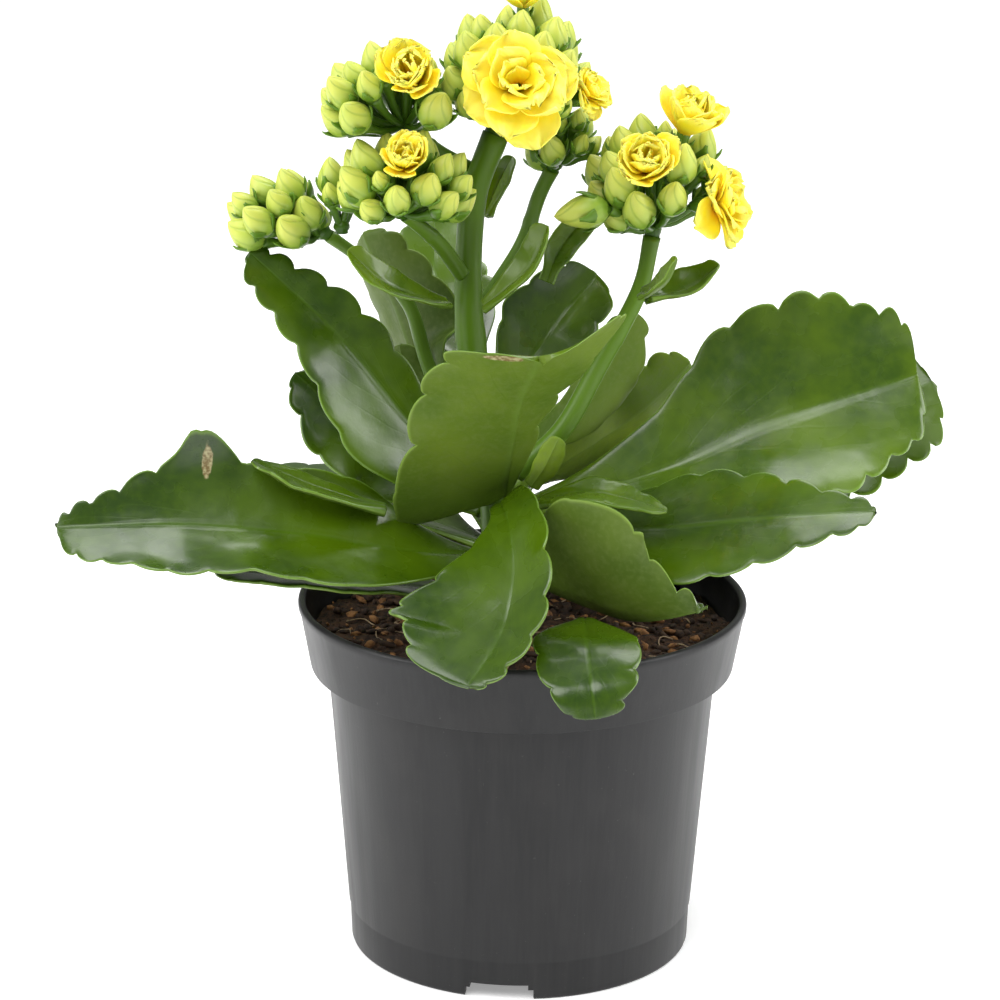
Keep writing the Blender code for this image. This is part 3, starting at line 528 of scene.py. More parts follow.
class Shape:
    """Vertices, faces, face materials and texture places, gathered piece by piece."""

    def __init__(self):
        self.points = []
        self.faces = []
        self.slots = []
        self.places = []
        self.count = 0

    def grid(self, points, slot=0, flip=False, places=None, close_rows=False):
        """Add a grid of points as quads. close_rows joins the last column to the first."""
        rows, columns = points.shape[:2]
        index = np.arange(rows * columns).reshape(rows, columns) + self.count
        if close_rows:
            index = np.hstack([index, index[:, :1]])
        corners = [index[:-1, :-1], index[:-1, 1:], index[1:, 1:], index[1:, :-1]]
        quads = np.stack(corners, axis=-1).reshape(-1, 4)
        if flip:
            quads = quads[:, ::-1]
        self.add(points.reshape(-1, 3), quads.tolist(), slot, places)
        return index

    def add(self, points, faces, slot=0, places=None):
        """Add points and faces that number from self.count."""
        self.points.append(np.asarray(points, float))
        if places is None:
            places = np.zeros((len(points), 2))
        self.places.append(np.asarray(places, float).reshape(-1, 2))
        self.faces += faces
        self.slots += [slot] * len(faces)
        self.count += len(points)

    def ring_cap(self, ring, slot=0, flip=False):
        """Close a ring of existing vertices with one face."""
        face = [int(i) for i in ring]
        self.faces.append(face[::-1] if flip else face)
        self.slots.append(slot)

    def hem(self, first, second, slot=0):
        """Join the edges of two grids that lie one over the other."""
        near, far = border(first), border(second)
        around = zip(near, near[1:] + near[:1], far, far[1:] + far[:1])
        faces = [[int(a), int(b), int(d), int(c)] for a, b, c, d in around]
        self.faces += faces
        self.slots += [slot] * len(faces)

    def mesh(self, name, looks):
        """The finished mesh data, in world metres from plant millimetres."""
        data = bpy.data.meshes.new(name)
        data.from_pydata(plant_points(np.vstack(self.points)).tolist(), [], self.faces)
        for look in looks:
            data.materials.append(look)
        data.polygons.foreach_set("material_index", self.slots)
        layer = data.uv_layers.new(name="place")
        corners = np.empty(len(data.loops), int)
        data.loops.foreach_get("vertex_index", corners)
        layer.data.foreach_set("uv", np.vstack(self.places)[corners].ravel())
        data.shade_smooth()
        data.update()
        return data


def add_piece(name, data, replaced):
    """Put a piece in the scene, riding on the plant's one body, in place of CAD nodes."""
    piece = bpy.data.objects.new(name, data)
    bpy.context.scene.collection.objects.link(piece)
    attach(piece, "root")
    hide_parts(*replaced)
    return piece


# ---------------------------------------------------------------- material helpers

def new_look(name, roughness, **settings):
    """A Principled material and its node tree."""
    look = bpy.data.materials.new(name)
    look.use_nodes = True
    shader = look.node_tree.nodes["Principled BSDF"]
    shader.inputs["Roughness"].default_value = roughness
    for socket, value in settings.items():
        shader.inputs[socket.replace("_", " ")].default_value = value
    return look, look.node_tree


def node(tree, kind, inputs=None, **settings):
    """A node with its settings, and its inputs linked or set."""
    made = tree.nodes.new(kind)
    for key, value in settings.items():
        setattr(made, key, value)
    for key, value in (inputs or {}).items():
        if isinstance(value, bpy.types.NodeSocket):
            tree.links.new(value, made.inputs[key])
        else:
            made.inputs[key].default_value = value
    return made


def sums(tree, operation, first, second=0.0):
    """One math node's result."""
    return node(tree, "ShaderNodeMath", {0: first, 1: second}, operation=operation).outputs[0]


def times(tree, first, second):
    """The product of two values."""
    return sums(tree, "MULTIPLY", first, second)


def stretch(tree, value, low, high, out_low=0.0, out_high=1.0):
    """A value taken smoothly from one range to another."""
    made = node(tree, "ShaderNodeMapRange", {
        "Value": value, "From Min": low, "From Max": high, "To Min": out_low, "To Max": out_high},
        interpolation_type="SMOOTHSTEP")
    return made.outputs["Result"]


def blend(tree, share, first, second):
    """Two colours mixed. A colour is a socket or (r, g, b)."""
    made = node(tree, "ShaderNodeMix", {0: share}, data_type="RGBA", blend_type="MIX")
    for socket, colour in ((6, first), (7, second)):
        if isinstance(colour, bpy.types.NodeSocket):
            tree.links.new(colour, made.inputs[socket])
        else:
            made.inputs[socket].default_value = (*colour, 1.0)
    return made.outputs[2]


def cloud(tree, size, detail=3.0, rough=0.5, squash=(1.0, 1.0, 1.0)):
    """Noise in object space with features of about that size in millimetres."""
    place = node(tree, "ShaderNodeTexCoord").outputs["Object"]
    scaled = node(tree, "ShaderNodeMapping", {"Vector": place, "Scale": squash}).outputs["Vector"]
    return node(tree, "ShaderNodeTexNoise", {
        "Vector": scaled, "Scale": 1000.0 / size, "Detail": detail, "Roughness": rough}).outputs["Fac"]


def bump(tree, height, distance, strength=1.0, normal=None):
    """A bump in the surface: height 0..1 stands for that many millimetres."""
    inputs = {"Height": height, "Strength": strength, "Distance": distance * MM}
    if normal is not None:
        inputs["Normal"] = normal
    return node(tree, "ShaderNodeBump", inputs).outputs["Normal"]


def mottled(tree, colour, size, other, most=0.5, low=0.35, high=0.7, detail=3.0):
    """A colour with soft patches of another, of about that size in millimetres."""
    return blend(tree, stretch(tree, cloud(tree, size, detail), low, high, 0.0, most), colour, other)


def finish_look(look, colour, normal, gloss=None):
    """Link a look's colour, surface and roughness, and give it back."""
    tree = look.node_tree
    shader = tree.nodes["Principled BSDF"]
    tree.links.new(colour, shader.inputs["Base Color"])
    tree.links.new(normal, shader.inputs["Normal"])
    if gloss is not None:
        tree.links.new(gloss, shader.inputs["Roughness"])
    return look


def places(tree):
    """The texture place of a piece, as its two numbers."""
    uv = node(tree, "ShaderNodeUVMap", uv_map="place").outputs["UV"]
    split = node(tree, "ShaderNodeSeparateXYZ", {"Vector": uv})
    return split.outputs["X"], split.outputs["Y"]


# ---------------------------------------------------------------- materials

def leaf_marks(tree):
    """Shares for a leaf's shader: along 0..1, faint fanned veins, the midrib and the rim."""
    place, along = places(tree)
    across = sums(tree, "ABSOLUTE", place)
    slant = sums(tree, "SUBTRACT", along, times(tree, across, 0.55))
    bent = sums(tree, "ADD", slant, times(tree, cloud(tree, 18.0, 1.0), 0.16))
    wave = sums(tree, "PINGPONG", sums(tree, "ADD", bent, 2.0), 0.075)
    vein = times(tree, stretch(tree, wave, 0.0, 0.012, 1.0, 0.0), stretch(tree, across, 0.9, 0.35))
    midrib = stretch(tree, across, 0.01, 0.07, 1.0, 0.0)
    rim = stretch(tree, across, 0.965, 0.998)
    return along, vein, midrib, rim


def leaf_relief(tree, broad_size, broad, vein, vein_share, midrib, depth, fine_size, fine_detail, fine):
    """A leaf's surface: broad swellings, veins, the midrib and fine grain."""
    swelling = bump(tree, cloud(tree, broad_size, 2.0), *broad)
    lines = sums(tree, "MAXIMUM", times(tree, vein, vein_share), midrib)
    return bump(tree, cloud(tree, fine_size, fine_detail), *fine, bump(tree, lines, depth, 0.5, swelling))


def scarred(tree, colour, scar):
    """A colour with a dry tan scar in it, or the colour as it is where there is no scar."""
    if not scar:
        return colour
    across, along = places(tree)
    wide = sums(tree, "DIVIDE", sums(tree, "SUBTRACT", across, scar[0]), scar[2])
    high = sums(tree, "DIVIDE", sums(tree, "SUBTRACT", along, scar[1]), scar[3])
    away = sums(tree, "SQRT", sums(tree, "ADD", times(tree, wide, wide), times(tree, high, high)))
    ragged = sums(tree, "ADD", away, times(tree, cloud(tree, 1.5, 3.0), 0.7))
    dry = mottled(tree, (0.16, 0.11, 0.035), 0.8, (0.42, 0.38, 0.20), 1.0)
    return blend(tree, stretch(tree, ragged, 1.35, 1.15), colour, dry)


def leaf_upper(fresh, scar=None):
    """The glossy dark upper side of a leaf."""
    name = f"leaf_upper_{round(fresh * 10)}" + ("_scarred" if scar else "")
    look, tree = new_look(name, 0.3, Specular_IOR_Level=0.38, Coat_Weight=0.3, Coat_Roughness=0.14)
    along, vein, midrib, rim = leaf_marks(tree)
    dark = (0.009 + 0.06 * fresh, 0.030 + 0.12 * fresh, 0.0002 + 0.003 * fresh)
    light = (0.045 + 0.13 * fresh, 0.098 + 0.18 * fresh, 0.0004 + 0.004 * fresh)
    young = (0.050 + 0.06 * fresh, 0.11 + 0.08 * fresh, 0.005)
    colour = mottled(tree, dark, 30.0, light, 1.0, 0.36, 0.66, 4.0)
    colour = mottled(tree, colour, 2.2, light, 0.3, 0.3, 0.8)
    colour = blend(tree, stretch(tree, along, 0.28, 0.0, 0.0, 0.5), colour, young)
    colour = blend(tree, times(tree, vein, 0.12), colour, young)
    colour = blend(tree, times(tree, midrib, 0.4), colour, young)
    colour = blend(tree, times(tree, rim, 0.7), colour, (0.15, 0.27, 0.03))
    colour = scarred(tree, colour, scar)
    relief = leaf_relief(tree, 12.0, (0.9, 0.6), vein, 0.12, midrib, -0.16, 0.7, 2.0, (0.03, 0.6))
    return finish_look(look, colour, relief, stretch(tree, cloud(tree, 9.0, 3.0), 0.3, 0.7, 0.2, 0.36))


def leaf_under(fresh, scar=None):
    """The matt olive underside of a leaf, finely dotted."""
    name = f"leaf_under_{round(fresh * 10)}" + ("_scarred" if scar else "")
    look, tree = new_look(name, 0.5, Specular_IOR_Level=0.22)
    along, vein, midrib, rim = leaf_marks(tree)
    dark = (0.042 + 0.06 * fresh, 0.078 + 0.11 * fresh, 0.007)
    light = (0.078 + 0.10 * fresh, 0.125 + 0.14 * fresh, 0.016)
    colour = mottled(tree, dark, 24.0, light, 1.0, 0.32, 0.7, 4.0)
    colour = mottled(tree, colour, 1.3, (0.13, 0.18, 0.045), 0.35, 0.4, 0.75)
    colour = blend(tree, stretch(tree, along, 0.45, 0.0, 0.0, 0.6), colour, (0.08, 0.16, 0.008))
    colour = blend(tree, times(tree, vein, 0.13), colour, dark)
    colour = blend(tree, times(tree, midrib, 0.3), colour, (0.13, 0.22, 0.035))
    colour = blend(tree, times(tree, rim, 0.7), colour, (0.20, 0.30, 0.05))
    colour = scarred(tree, colour, scar)
    relief = leaf_relief(tree, 11.0, (0.8, 0.5), vein, 0.2, midrib, 0.16, 0.8, 3.0, (0.06, 0.7))
    return finish_look(look, colour, relief, stretch(tree, cloud(tree, 8.0, 3.0), 0.3, 0.7, 0.38, 0.55))


def stem_look():
    """Smooth green stem, paler towards the flowers, with faint long streaks."""
    look, tree = new_look("stem_skin", 0.38, Subsurface_Weight=0.08, Specular_IOR_Level=0.3,
                          Subsurface_Radius=(0.0012, 0.0018, 0.0005))
    streak = cloud(tree, 3.0, 3.0, 0.5, (1.0, 1.0, 0.12))
    colour = blend(tree, places(tree)[1], (0.036, 0.090, 0.003), (0.10, 0.20, 0.008))
    colour = blend(tree, stretch(tree, streak, 0.35, 0.7, 0.0, 0.5), colour, (0.09, 0.17, 0.016))
    return finish_look(look, colour, bump(tree, streak, 0.15, 0.5))


def bud_look():
    """The closed petals of a bud: pale yellow with green at the foot and in the folds."""
    look, tree = new_look("bud_petals", 0.42, Subsurface_Weight=0.2,
                          Subsurface_Radius=(0.0025, 0.0022, 0.0006))
    turn, along = places(tree)
    fold = stretch(tree, sums(tree, "PINGPONG", turn, 0.5), 0.0, 0.16, 1.0, 0.0)
    colour = blend(tree, stretch(tree, along, 0.2, 0.85), (0.20, 0.35, 0.03), (0.58, 0.62, 0.10))
    colour = mottled(tree, colour, 5.0, (0.40, 0.52, 0.07), detail=2.0)
    colour = blend(tree, times(tree, fold, 0.4), colour, (0.20, 0.33, 0.03))
    creases = bump(tree, fold, -0.12, 0.6)
    return finish_look(look, colour, bump(tree, cloud(tree, 0.9, 2.0), 0.05, 0.5, creases))


def calyx_look():
    """Sepals and pedicels: fresh green, paler at the tips."""
    look, tree = new_look("calyx", 0.36, Subsurface_Weight=0.1, Specular_IOR_Level=0.35,
                          Subsurface_Radius=(0.001, 0.0016, 0.0004))
    colour = blend(tree, places(tree)[1], (0.030, 0.090, 0.004), (0.13, 0.26, 0.018))
    colour = mottled(tree, colour, 3.0, (0.075, 0.165, 0.010))
    return finish_look(look, colour, bump(tree, cloud(tree, 1.0, 2.0), 0.06, 0.5))


def petal_look():
    """Bright yellow petals, deeper at the foot, paler at the margin, with fine long veins."""
    look, tree = new_look("petals", 0.5, Subsurface_Weight=0.5,
                          Subsurface_Radius=(0.006, 0.004, 0.0005))
    across, along = places(tree)
    pale = (1.0, 0.92, 0.16)
    colour = blend(tree, stretch(tree, along, 0.0, 0.5), (1.0, 0.58, 0.008), (1.0, 0.80, 0.022))
    colour = blend(tree, stretch(tree, along, 0.6, 1.0, 0.0, 0.75), colour, pale)
    colour = mottled(tree, colour, 4.0, pale, 0.35, detail=2.0)
    veins = bump(tree, sums(tree, "PINGPONG", across, 0.05), 0.7, 0.4)
    return finish_look(look, colour, bump(tree, cloud(tree, 1.2, 2.0), 0.1, 0.5, veins))


def pot_look():
    """Dark grey moulded plastic: satin, with faint upright flow streaks, scuffs and dust."""
    look, tree = new_look("pot_plastic_detail", 0.42, Specular_IOR_Level=0.25)
    streak = cloud(tree, 5.0, 4.0, 0.6, (1.0, 1.0, 0.03))
    thread = cloud(tree, 0.9, 2.0, 0.5, (1.0, 1.0, 0.015))
    scuff = stretch(tree, cloud(tree, 1.2, 5.0, 0.75), 0.66, 0.74)
    colour = blend(tree, stretch(tree, streak, 0.3, 0.7), (0.012, 0.012, 0.0125), (0.018, 0.018, 0.0185))
    colour = blend(tree, stretch(tree, thread, 0.4, 0.75, 0.0, 0.25), colour, (0.024, 0.024, 0.024))
    colour = mottled(tree, colour, 18.0, (0.034, 0.032, 0.030), 0.25, 0.5, 0.8, 4.0)
    colour = blend(tree, times(tree, scuff, 0.35), colour, (0.20, 0.19, 0.18))
    lines = bump(tree, thread, 0.02, 0.4, bump(tree, streak, 0.08, 0.4))
    relief = bump(tree, cloud(tree, 0.5, 2.0), 0.02, 0.5, lines)
    return finish_look(look, colour, relief, stretch(tree, streak, 0.25, 0.75, 0.36, 0.46))


def soil_look():
    """Moist brown peat."""
    look, tree = new_look("peat", 0.92)
    grain = stretch(tree, cloud(tree, 1.6, 6.0, 0.7), 0.35, 0.65)
    colour = blend(tree, grain, (0.012, 0.006, 0.003), (0.085, 0.038, 0.015))
    colour = mottled(tree, colour, 5.0, (0.13, 0.065, 0.028), 0.5, 0.55, 0.75)
    return finish_look(look, colour, bump(tree, cloud(tree, 0.8, 5.0, 0.7), 0.7, 0.9))


def crumb_look(name, dark, light):
    """Bark, clay or fibre crumbs in the soil."""
    look, tree = new_look(name, 0.85)
    colour = blend(tree, stretch(tree, cloud(tree, 1.4, 4.0, 0.6), 0.3, 0.7), dark, light)
    return finish_look(look, colour, bump(tree, cloud(tree, 0.6, 3.0), 0.25, 0.8))


# ---------------------------------------------------------------- leaves

def at_share(values, share):
    """Values that change evenly from the foot of a leaf to its tip, one row for each share."""
    values = np.atleast_2d(np.asarray(values, float))
    keys = np.linspace(0.0, 1.0, len(values))
    return np.stack([np.interp(share, keys, column) for column in values.T], axis=-1)


def half_width(leaf, side, share):
    """Distance from the midrib to the margin, in mm, at shares of the leaf's length."""
    widths = (STALK_HALF_WIDTH, *leaf[side])
    stations = (0.0, *STATIONS)
    spread = (-0.05, -0.025, 0.0, 0.025, 0.05)
    near = [np.minimum(share + step, STATIONS[-1]) for step in spread]
    width = np.mean([np.interp(at, stations, widths) for at in near], axis=0)
    past = np.clip((share - STATIONS[-1]) / (1.0 - STATIONS[-1]), 0.0, 1.0)
    return width * np.sqrt(1.0 - past**2)


def side_values(leaf, key, pick, share, usual):
    """A leaf's fold, curl or sweep on its left (0) or right (1) side, at shares of its length."""
    value = leaf.get(key, usual)
    if isinstance(value, int):
        return np.full(len(share), float(value))
    return at_share([[v] for v in value[pick]], share)[:, 0]


def flap(leaf, side, share, offset):
    """How far a leaf's flap stands out past its margin, more steeply on its tip side."""
    flap_side, middle, height = leaf.get("peak", NO_PEAK)
    if side != flap_side:
        return 0.0
    spread = np.where(share > middle, PEAK_SPREAD * 0.4, PEAK_SPREAD)
    return height * offset**4 * np.exp(-(((share - middle) / spread) ** 2))


def lifted(distance, fold, curl, widest):
    """How far out and how far up a point of a folded, curled half lies at a distance from the midrib."""
    fold = np.radians(fold)
    curl = np.radians(curl)
    bend = np.where(np.abs(curl) > 0.001, curl, 0.001) / widest
    reach = (np.sin(fold + bend * distance) - np.sin(fold)) / bend
    lift = (np.cos(fold) - np.cos(fold + bend * distance)) / bend
    return reach, lift


def blade_surface(leaf, stem, notch_depth, seed):
    """A leaf's middle surface and its normals, each rows by columns by 3, in plant millimetres."""
    points = [Vector(point) for point in leaf["midrib"]]
    if stem:
        points[0] = seated(points, stem, LEAF_STANDOFF)
    route = smooth_route(points, 241)
    along = np.linspace(0.0, 1.0, BLADE_ROWS + 1)
    share = 1.0 - (1.0 - along) ** 1.5
    across = np.sin(np.linspace(-1.0, 1.0, BLADE_COLUMNS + 1) * math.pi / 2)
    at = share * (len(route) - 1)
    steps = np.arange(len(route))
    middle = np.stack([np.interp(at, steps, route[:, axis]) for axis in range(3)], axis=1)
    slope = unit(np.gradient(route, axis=0))
    forward = unit(np.stack([np.interp(at, steps, slope[:, axis]) for axis in range(3)], axis=1))
    upper = at_share(leaf["upper"], share)
    upper = unit(upper - forward * (upper * forward).sum(axis=1, keepdims=True))
    right = np.cross(forward, upper)
    rise = np.clip((share - 0.3) / 0.25, 0.0, 1.0)
    size = max(max(leaf["left"]), max(leaf["right"]))
    length = np.linalg.norm(np.diff(route, axis=0), axis=1).sum()
    lobes = max(4, round(length / LOBE_LENGTH))
    notch = min(notch_depth, NOTCH_SHARE * size)
    surface = np.zeros((len(along), len(across), 3))
    for column, offset in enumerate(across):
        side, pick, shift = ("right", 1, seed) if offset > 0 else ("left", 0, seed + 0.37)
        lobe = np.abs(np.sin(math.pi * (lobes * along + shift))) ** 0.55
        distance = abs(offset) * half_width(leaf, side, share)
        distance = distance - notch * rise * (1.0 - lobe) * abs(offset) ** 4
        distance = distance + flap(leaf, side, share, abs(offset))
        fold = side_values(leaf, "fold", pick, share, PLAIN_BEND)
        curl = side_values(leaf, "curl", pick, share, PLAIN_BEND)
        reach, lift = lifted(distance, fold, curl, max(leaf[side]))
        sweep = side_values(leaf, "sweep", pick, share, 0) * distance
        sideways = right * np.copysign(reach, offset)[:, None]
        surface[:, column] = middle + sideways + upper * lift[:, None] + forward * sweep[:, None]
    normals = surface_normals(surface, upper)
    wave = wobble(surface, size * 1.1, size * 0.10, seed)
    wave = wave + wobble(surface, size * 0.45, size * 0.03, seed + 5)
    wave *= (rise[:, None] * 0.8 + 0.2) * np.abs(across)[None, :] ** 1.2
    return surface + normals * wave[..., None], normals, share, across


def surface_normals(surface, upper):
    """Unit normals of a grid of points, on the side that upper points to."""
    normals = unit(np.cross(np.gradient(surface, axis=0), np.gradient(surface, axis=1)))
    flip = np.sign((normals * upper[:, None, :]).sum(axis=-1, keepdims=True))
    flip[flip == 0] = 1.0
    normals = normals * flip
    normals[-1] = normals[-2]
    normals[0] = normals[1]
    return normals


def make_blade(name, leaf, stem, thickness, notch_depth, looks, seed):
    """A leaf as a closed fleshy blade: upper side, underside and a thin rounded rim."""
    surface, normals, share, across = blade_surface(leaf, stem, notch_depth, seed)
    body = np.sqrt(np.clip(1.0 - np.abs(across) ** 3.5, 0.0, 1.0))[None, :] * 0.86 + 0.14
    ends = np.sqrt(np.clip(1.0 - share**6, 0.0, 1.0))[:, None] * 0.8 + 0.2
    stalk = 1.0 + 0.5 * smoothstep(0.25, 0.0, share)[:, None]
    half = thickness / 2 * body * ends * stalk
    groove = np.exp(-((across / 0.06) ** 2))[None, :] * (1.0 - share[:, None]) ** 0.5 * 0.28
    top = surface + normals * (half - groove)[..., None]
    bottom = surface - normals * (half + groove * 1.3)[..., None]
    u = np.broadcast_to(across[None, :], half.shape)
    v = np.broadcast_to(share[:, None], half.shape)
    places_grid = np.stack([u, v], axis=-1)
    shape = Shape()
    upper_side = shape.grid(top, 0, False, places_grid)
    under_side = shape.grid(bottom, 1, True, places_grid)
    shape.hem(upper_side, under_side)
    data = shape.mesh(name + "_detail", looks)
    outward(data)
    add_piece(name + "_detail", data, [name])


def outward(data):
    """Weld what coincides and make every face point out."""
    shape = bmesh.new()
    shape.from_mesh(data)
    bmesh.ops.remove_doubles(shape, verts=shape.verts, dist=0.000002)
    bmesh.ops.recalc_face_normals(shape, faces=shape.faces)
    shape.to_mesh(data)
    shape.free()


def make_leaves():
    """Every leaf and bract."""
    looks = {}
    for seed, (name, leaf) in enumerate(LEAVES.items()):
        fresh = FRESHNESS.get(name, USUAL_FRESHNESS)
        scar = SCARS.get(name)
        if (fresh, scar) not in looks:
            looks[fresh, scar] = (leaf_upper(fresh, scar), leaf_under(fresh, scar))
        stem = None if name in LOOSE_LEAVES else "main_stem"
        notch_depth = 0.0 if name in PLAIN_LEAVES else NOTCH_DEPTH
        make_blade(name, leaf, stem, LEAF_THICKNESS, notch_depth, looks[fresh, scar], seed * 3.1)
    pair = (leaf_upper(BRACT_FRESHNESS[0]), leaf_under(BRACT_FRESHNESS[1]))
    for seed, (name, leaf) in enumerate(BRACTS.items()):
        make_blade(name, leaf, None, BRACT_THICKNESS, 0.0, pair, seed * 2.3 + 40)


# ---------------------------------------------------------------- stems

def tube(shape, route, radii, sides, slot=0, places_from=(0.0, 1.0), ridges=0.0):
    """Add a closed tube along a route, with a radius at each point."""
    route = np.asarray(route, float)
    along = unit(np.gradient(route, axis=0))
    side = np.cross(along[0], [0.3, 0.9, 0.1])
    rings = []
    for step, direction in enumerate(along):
        side = side - direction * np.dot(side, direction)
        side = side / np.linalg.norm(side)
        other = np.cross(direction, side)
        angle = np.linspace(0.0, 2 * math.pi, sides, endpoint=False)
        radius = radii[step] * (1.0 + ridges * np.cos(4 * angle))
        around = np.cos(angle)[:, None] * side + np.sin(angle)[:, None] * other
        rings.append(route[step] + radius[:, None] * around)
    rings = np.array(rings)
    v = np.linspace(*places_from, len(route))
    place = np.stack([np.broadcast_to(np.linspace(0, 1, sides)[None, :], rings.shape[:2]),
                      np.broadcast_to(v[:, None], rings.shape[:2])], axis=-1)
    index = shape.grid(rings, slot, False, place, close_rows=True)
    shape.ring_cap(index[0, :-1], slot, True)
    shape.ring_cap(index[-1, :-1], slot)


def make_stems():
    """The main stem and the flower stems."""
    look = stem_look()
    for name in STEMS:
        route = stem_route(name, 50)
        share = np.linspace(0.0, 1.0, len(route))
        radii = stem_radius(name, share)
        swelling = 1.0 + 0.10 * np.exp(-((share - 0.62) / 0.03) ** 2)
        swelling = swelling + 0.08 * np.exp(-((share - 1.0) / 0.05) ** 2)
        radii = radii * swelling + wobble(route, 9.0, 0.12, 3.0)
        shape = Shape()
        tube(shape, route, radii, 20, 0, (0.0, 1.0) if name == "main_stem" else (0.6, 1.0), 0.03)
        data = shape.mesh(name + "_detail", [look])
        outward(data)
        add_piece(name + "_detail", data, [name])


# ---------------------------------------------------------------- flower heads

def dome_directions(count):
    """Directions spread evenly over a ball but for its lowest part."""
    found = []
    for index in range(count):
        height = 1.0 - (1.0 - DOME_FOOT) * (index + 0.5) / count
        ring = math.sqrt(1.0 - height * height)
        angle = GOLDEN_ANGLE * index
        found.append(Vector((ring * math.cos(angle), ring * math.sin(angle), height)))
    return found


def bud_places(name):
    """The middle of each bud of a flower head that nothing else takes."""
    head = HEADS[name]
    middle = Vector(head["middle"])
    half = Vector(head["half"])
    earlier = list(HEADS)[:list(HEADS).index(name)]
    taken = [centre for other in earlier for centre in bud_places(other)]
    found = []
    for out in dome_directions(head["places"]):
        centre = middle + Vector((out.x * half.x, out.y * half.y, out.z * half.z))
        free = all((centre - other).length > 2 * (BUD_RADIUS + BUD_ROOM) for other in taken)
        if free and not any(in_flower(centre, flower) for flower in FLOWERS.values()):
            found.append(centre)
    return found


def small_bud_places(name, taken):
    """Places for the small young buds that fill the gaps between a head's full buds."""
    head = HEADS[name]
    middle = Vector(head["middle"])
    half = Vector(head["half"])
    others = [centre for other in HEADS if other != name for centre in bud_places(other)]
    found = []
    for out in dome_directions(head["places"] * 5):
        centre = middle + Vector((out.x * half.x, out.y * half.y, out.z * half.z)) * 0.93
        free = all((centre - other).length > SMALL_BUD_ROOM for other in taken + others)
        free = free and all((centre - other).length > SMALL_BUD_ROOM * 0.75 for other in found)
        if free and not any(in_flower(centre, flower) for flower in FLOWERS.values()):
            found.append(centre)
    return found


def in_flower(centre, flower):
    """Whether a bud with this middle would touch an open flower's bowl."""
    facing = Vector(flower["faces"]).normalized()
    away = centre - Vector(flower["middle"])
    behind = -away.dot(facing)
    aside = (away + facing * behind).length
    if behind > flower["depth"] + BUD_LENGTH / 2:
        return False
    narrowing = min(1.0, max(0.0, 1.0 - behind / flower["depth"]))
    return aside < flower["radius"] * narrowing + BUD_RADIUS + BUD_ROOM


def bud_body(radius, length, twist):
    """A bud's closed petals: an egg with five spiral folds and a blunt point."""
    rows, sides = 15, 30
    t = np.linspace(0.0, 1.0, rows)
    profile = np.sin(math.pi * t**0.80) ** 0.66 * (1.0 - 0.24 * t**2)
    angle = np.linspace(0.0, 2 * math.pi, sides, endpoint=False)
    turn = 5 * angle[None, :] / (2 * math.pi) + twist + 1.3 * t[:, None] ** 2
    groove = np.abs(np.mod(turn, 1.0) - 0.5) * 2
    swell = 1.0 - 0.06 * (1.0 - np.minimum(1.0, (1 - groove) * 4)) * smoothstep(0.1, 0.6, t)[:, None]
    r = radius * profile[:, None] * swell
    z = np.broadcast_to(t[:, None] * length, r.shape)
    points = np.stack([r * np.cos(angle), r * np.sin(angle), z], axis=-1)
    place = np.stack([turn, np.broadcast_to(t[:, None], turn.shape)], axis=-1)
    return points, place


def sepal(radius, length, angle, flare):
    """One sepal that hugs the bud's foot and ends in a point."""
    t = np.linspace(0.0, 1.0, SEPAL_ROWS)
    width = 1.25 * np.sin(math.pi * (0.22 + 0.78 * t)) ** 0.8 * (1 - t**3)
    out = radius * (np.sin(math.pi * np.minimum(0.5, t * 0.47 + 0.03)) ** 0.7) + 0.18 + flare * t**3
    side = np.linspace(-1.0, 1.0, SEPAL_COLUMNS)
    turn = angle + side[None, :] * width[:, None] / 2
    r = out[:, None] - 0.2 * side[None, :] ** 2
    z = np.broadcast_to((t * length)[:, None], turn.shape)
    return np.stack([r * np.cos(turn), r * np.sin(turn), z], axis=-1)


def thick_sheet(shape, sheet, normal_from, thickness, slot, place, transform):
    """Add a thin closed sheet: outer and inner faces and the edge between them."""
    normals = unit(np.cross(np.gradient(sheet, axis=0), np.gradient(sheet, axis=1)))
    away = np.sign((normals * (sheet - normal_from)).sum(axis=-1, keepdims=True))
    away[away == 0] = 1.0
    offset = normals * away * thickness
    outer = shape.grid(transform(sheet + offset), slot, False, place)
    inner = shape.grid(transform(sheet), slot, True, place)
    shape.hem(outer, inner, slot)


def add_bud(shape, foot, facing, size, seed, longer=1.0):
    """A bud with its four sepals, standing on its foot along its direction."""
    radius = BUD_RADIUS * size
    length = BUD_LENGTH * size * longer * (0.94 + 0.1 * math.sin(seed * 1.9))
    turn = turned_to(facing)
    place_at = np.array(foot)

    def transform(points):
        return points @ turn.T + place_at

    body, place = bud_body(radius, length, seed * 0.37)
    index = shape.grid(transform(body), 0, False, place, close_rows=True)
    shape.ring_cap(index[0, :-1], 0, True)
    shape.ring_cap(index[-1, :-1], 0)
    grid = place_grid(SEPAL_ROWS, SEPAL_COLUMNS, 0.15)
    for count in range(SEPALS):
        angle = seed * 2.4 + count * math.pi / 2
        height = length * (0.56 + 0.07 * math.sin(seed + count))
        sheet = sepal(radius, height, angle, 0.5 + 0.4 * math.sin(seed * 3 + count))
        thick_sheet(shape, sheet, np.array([0, 0, length * 0.4]), SEPAL_THICKNESS, 1, grid, transform)


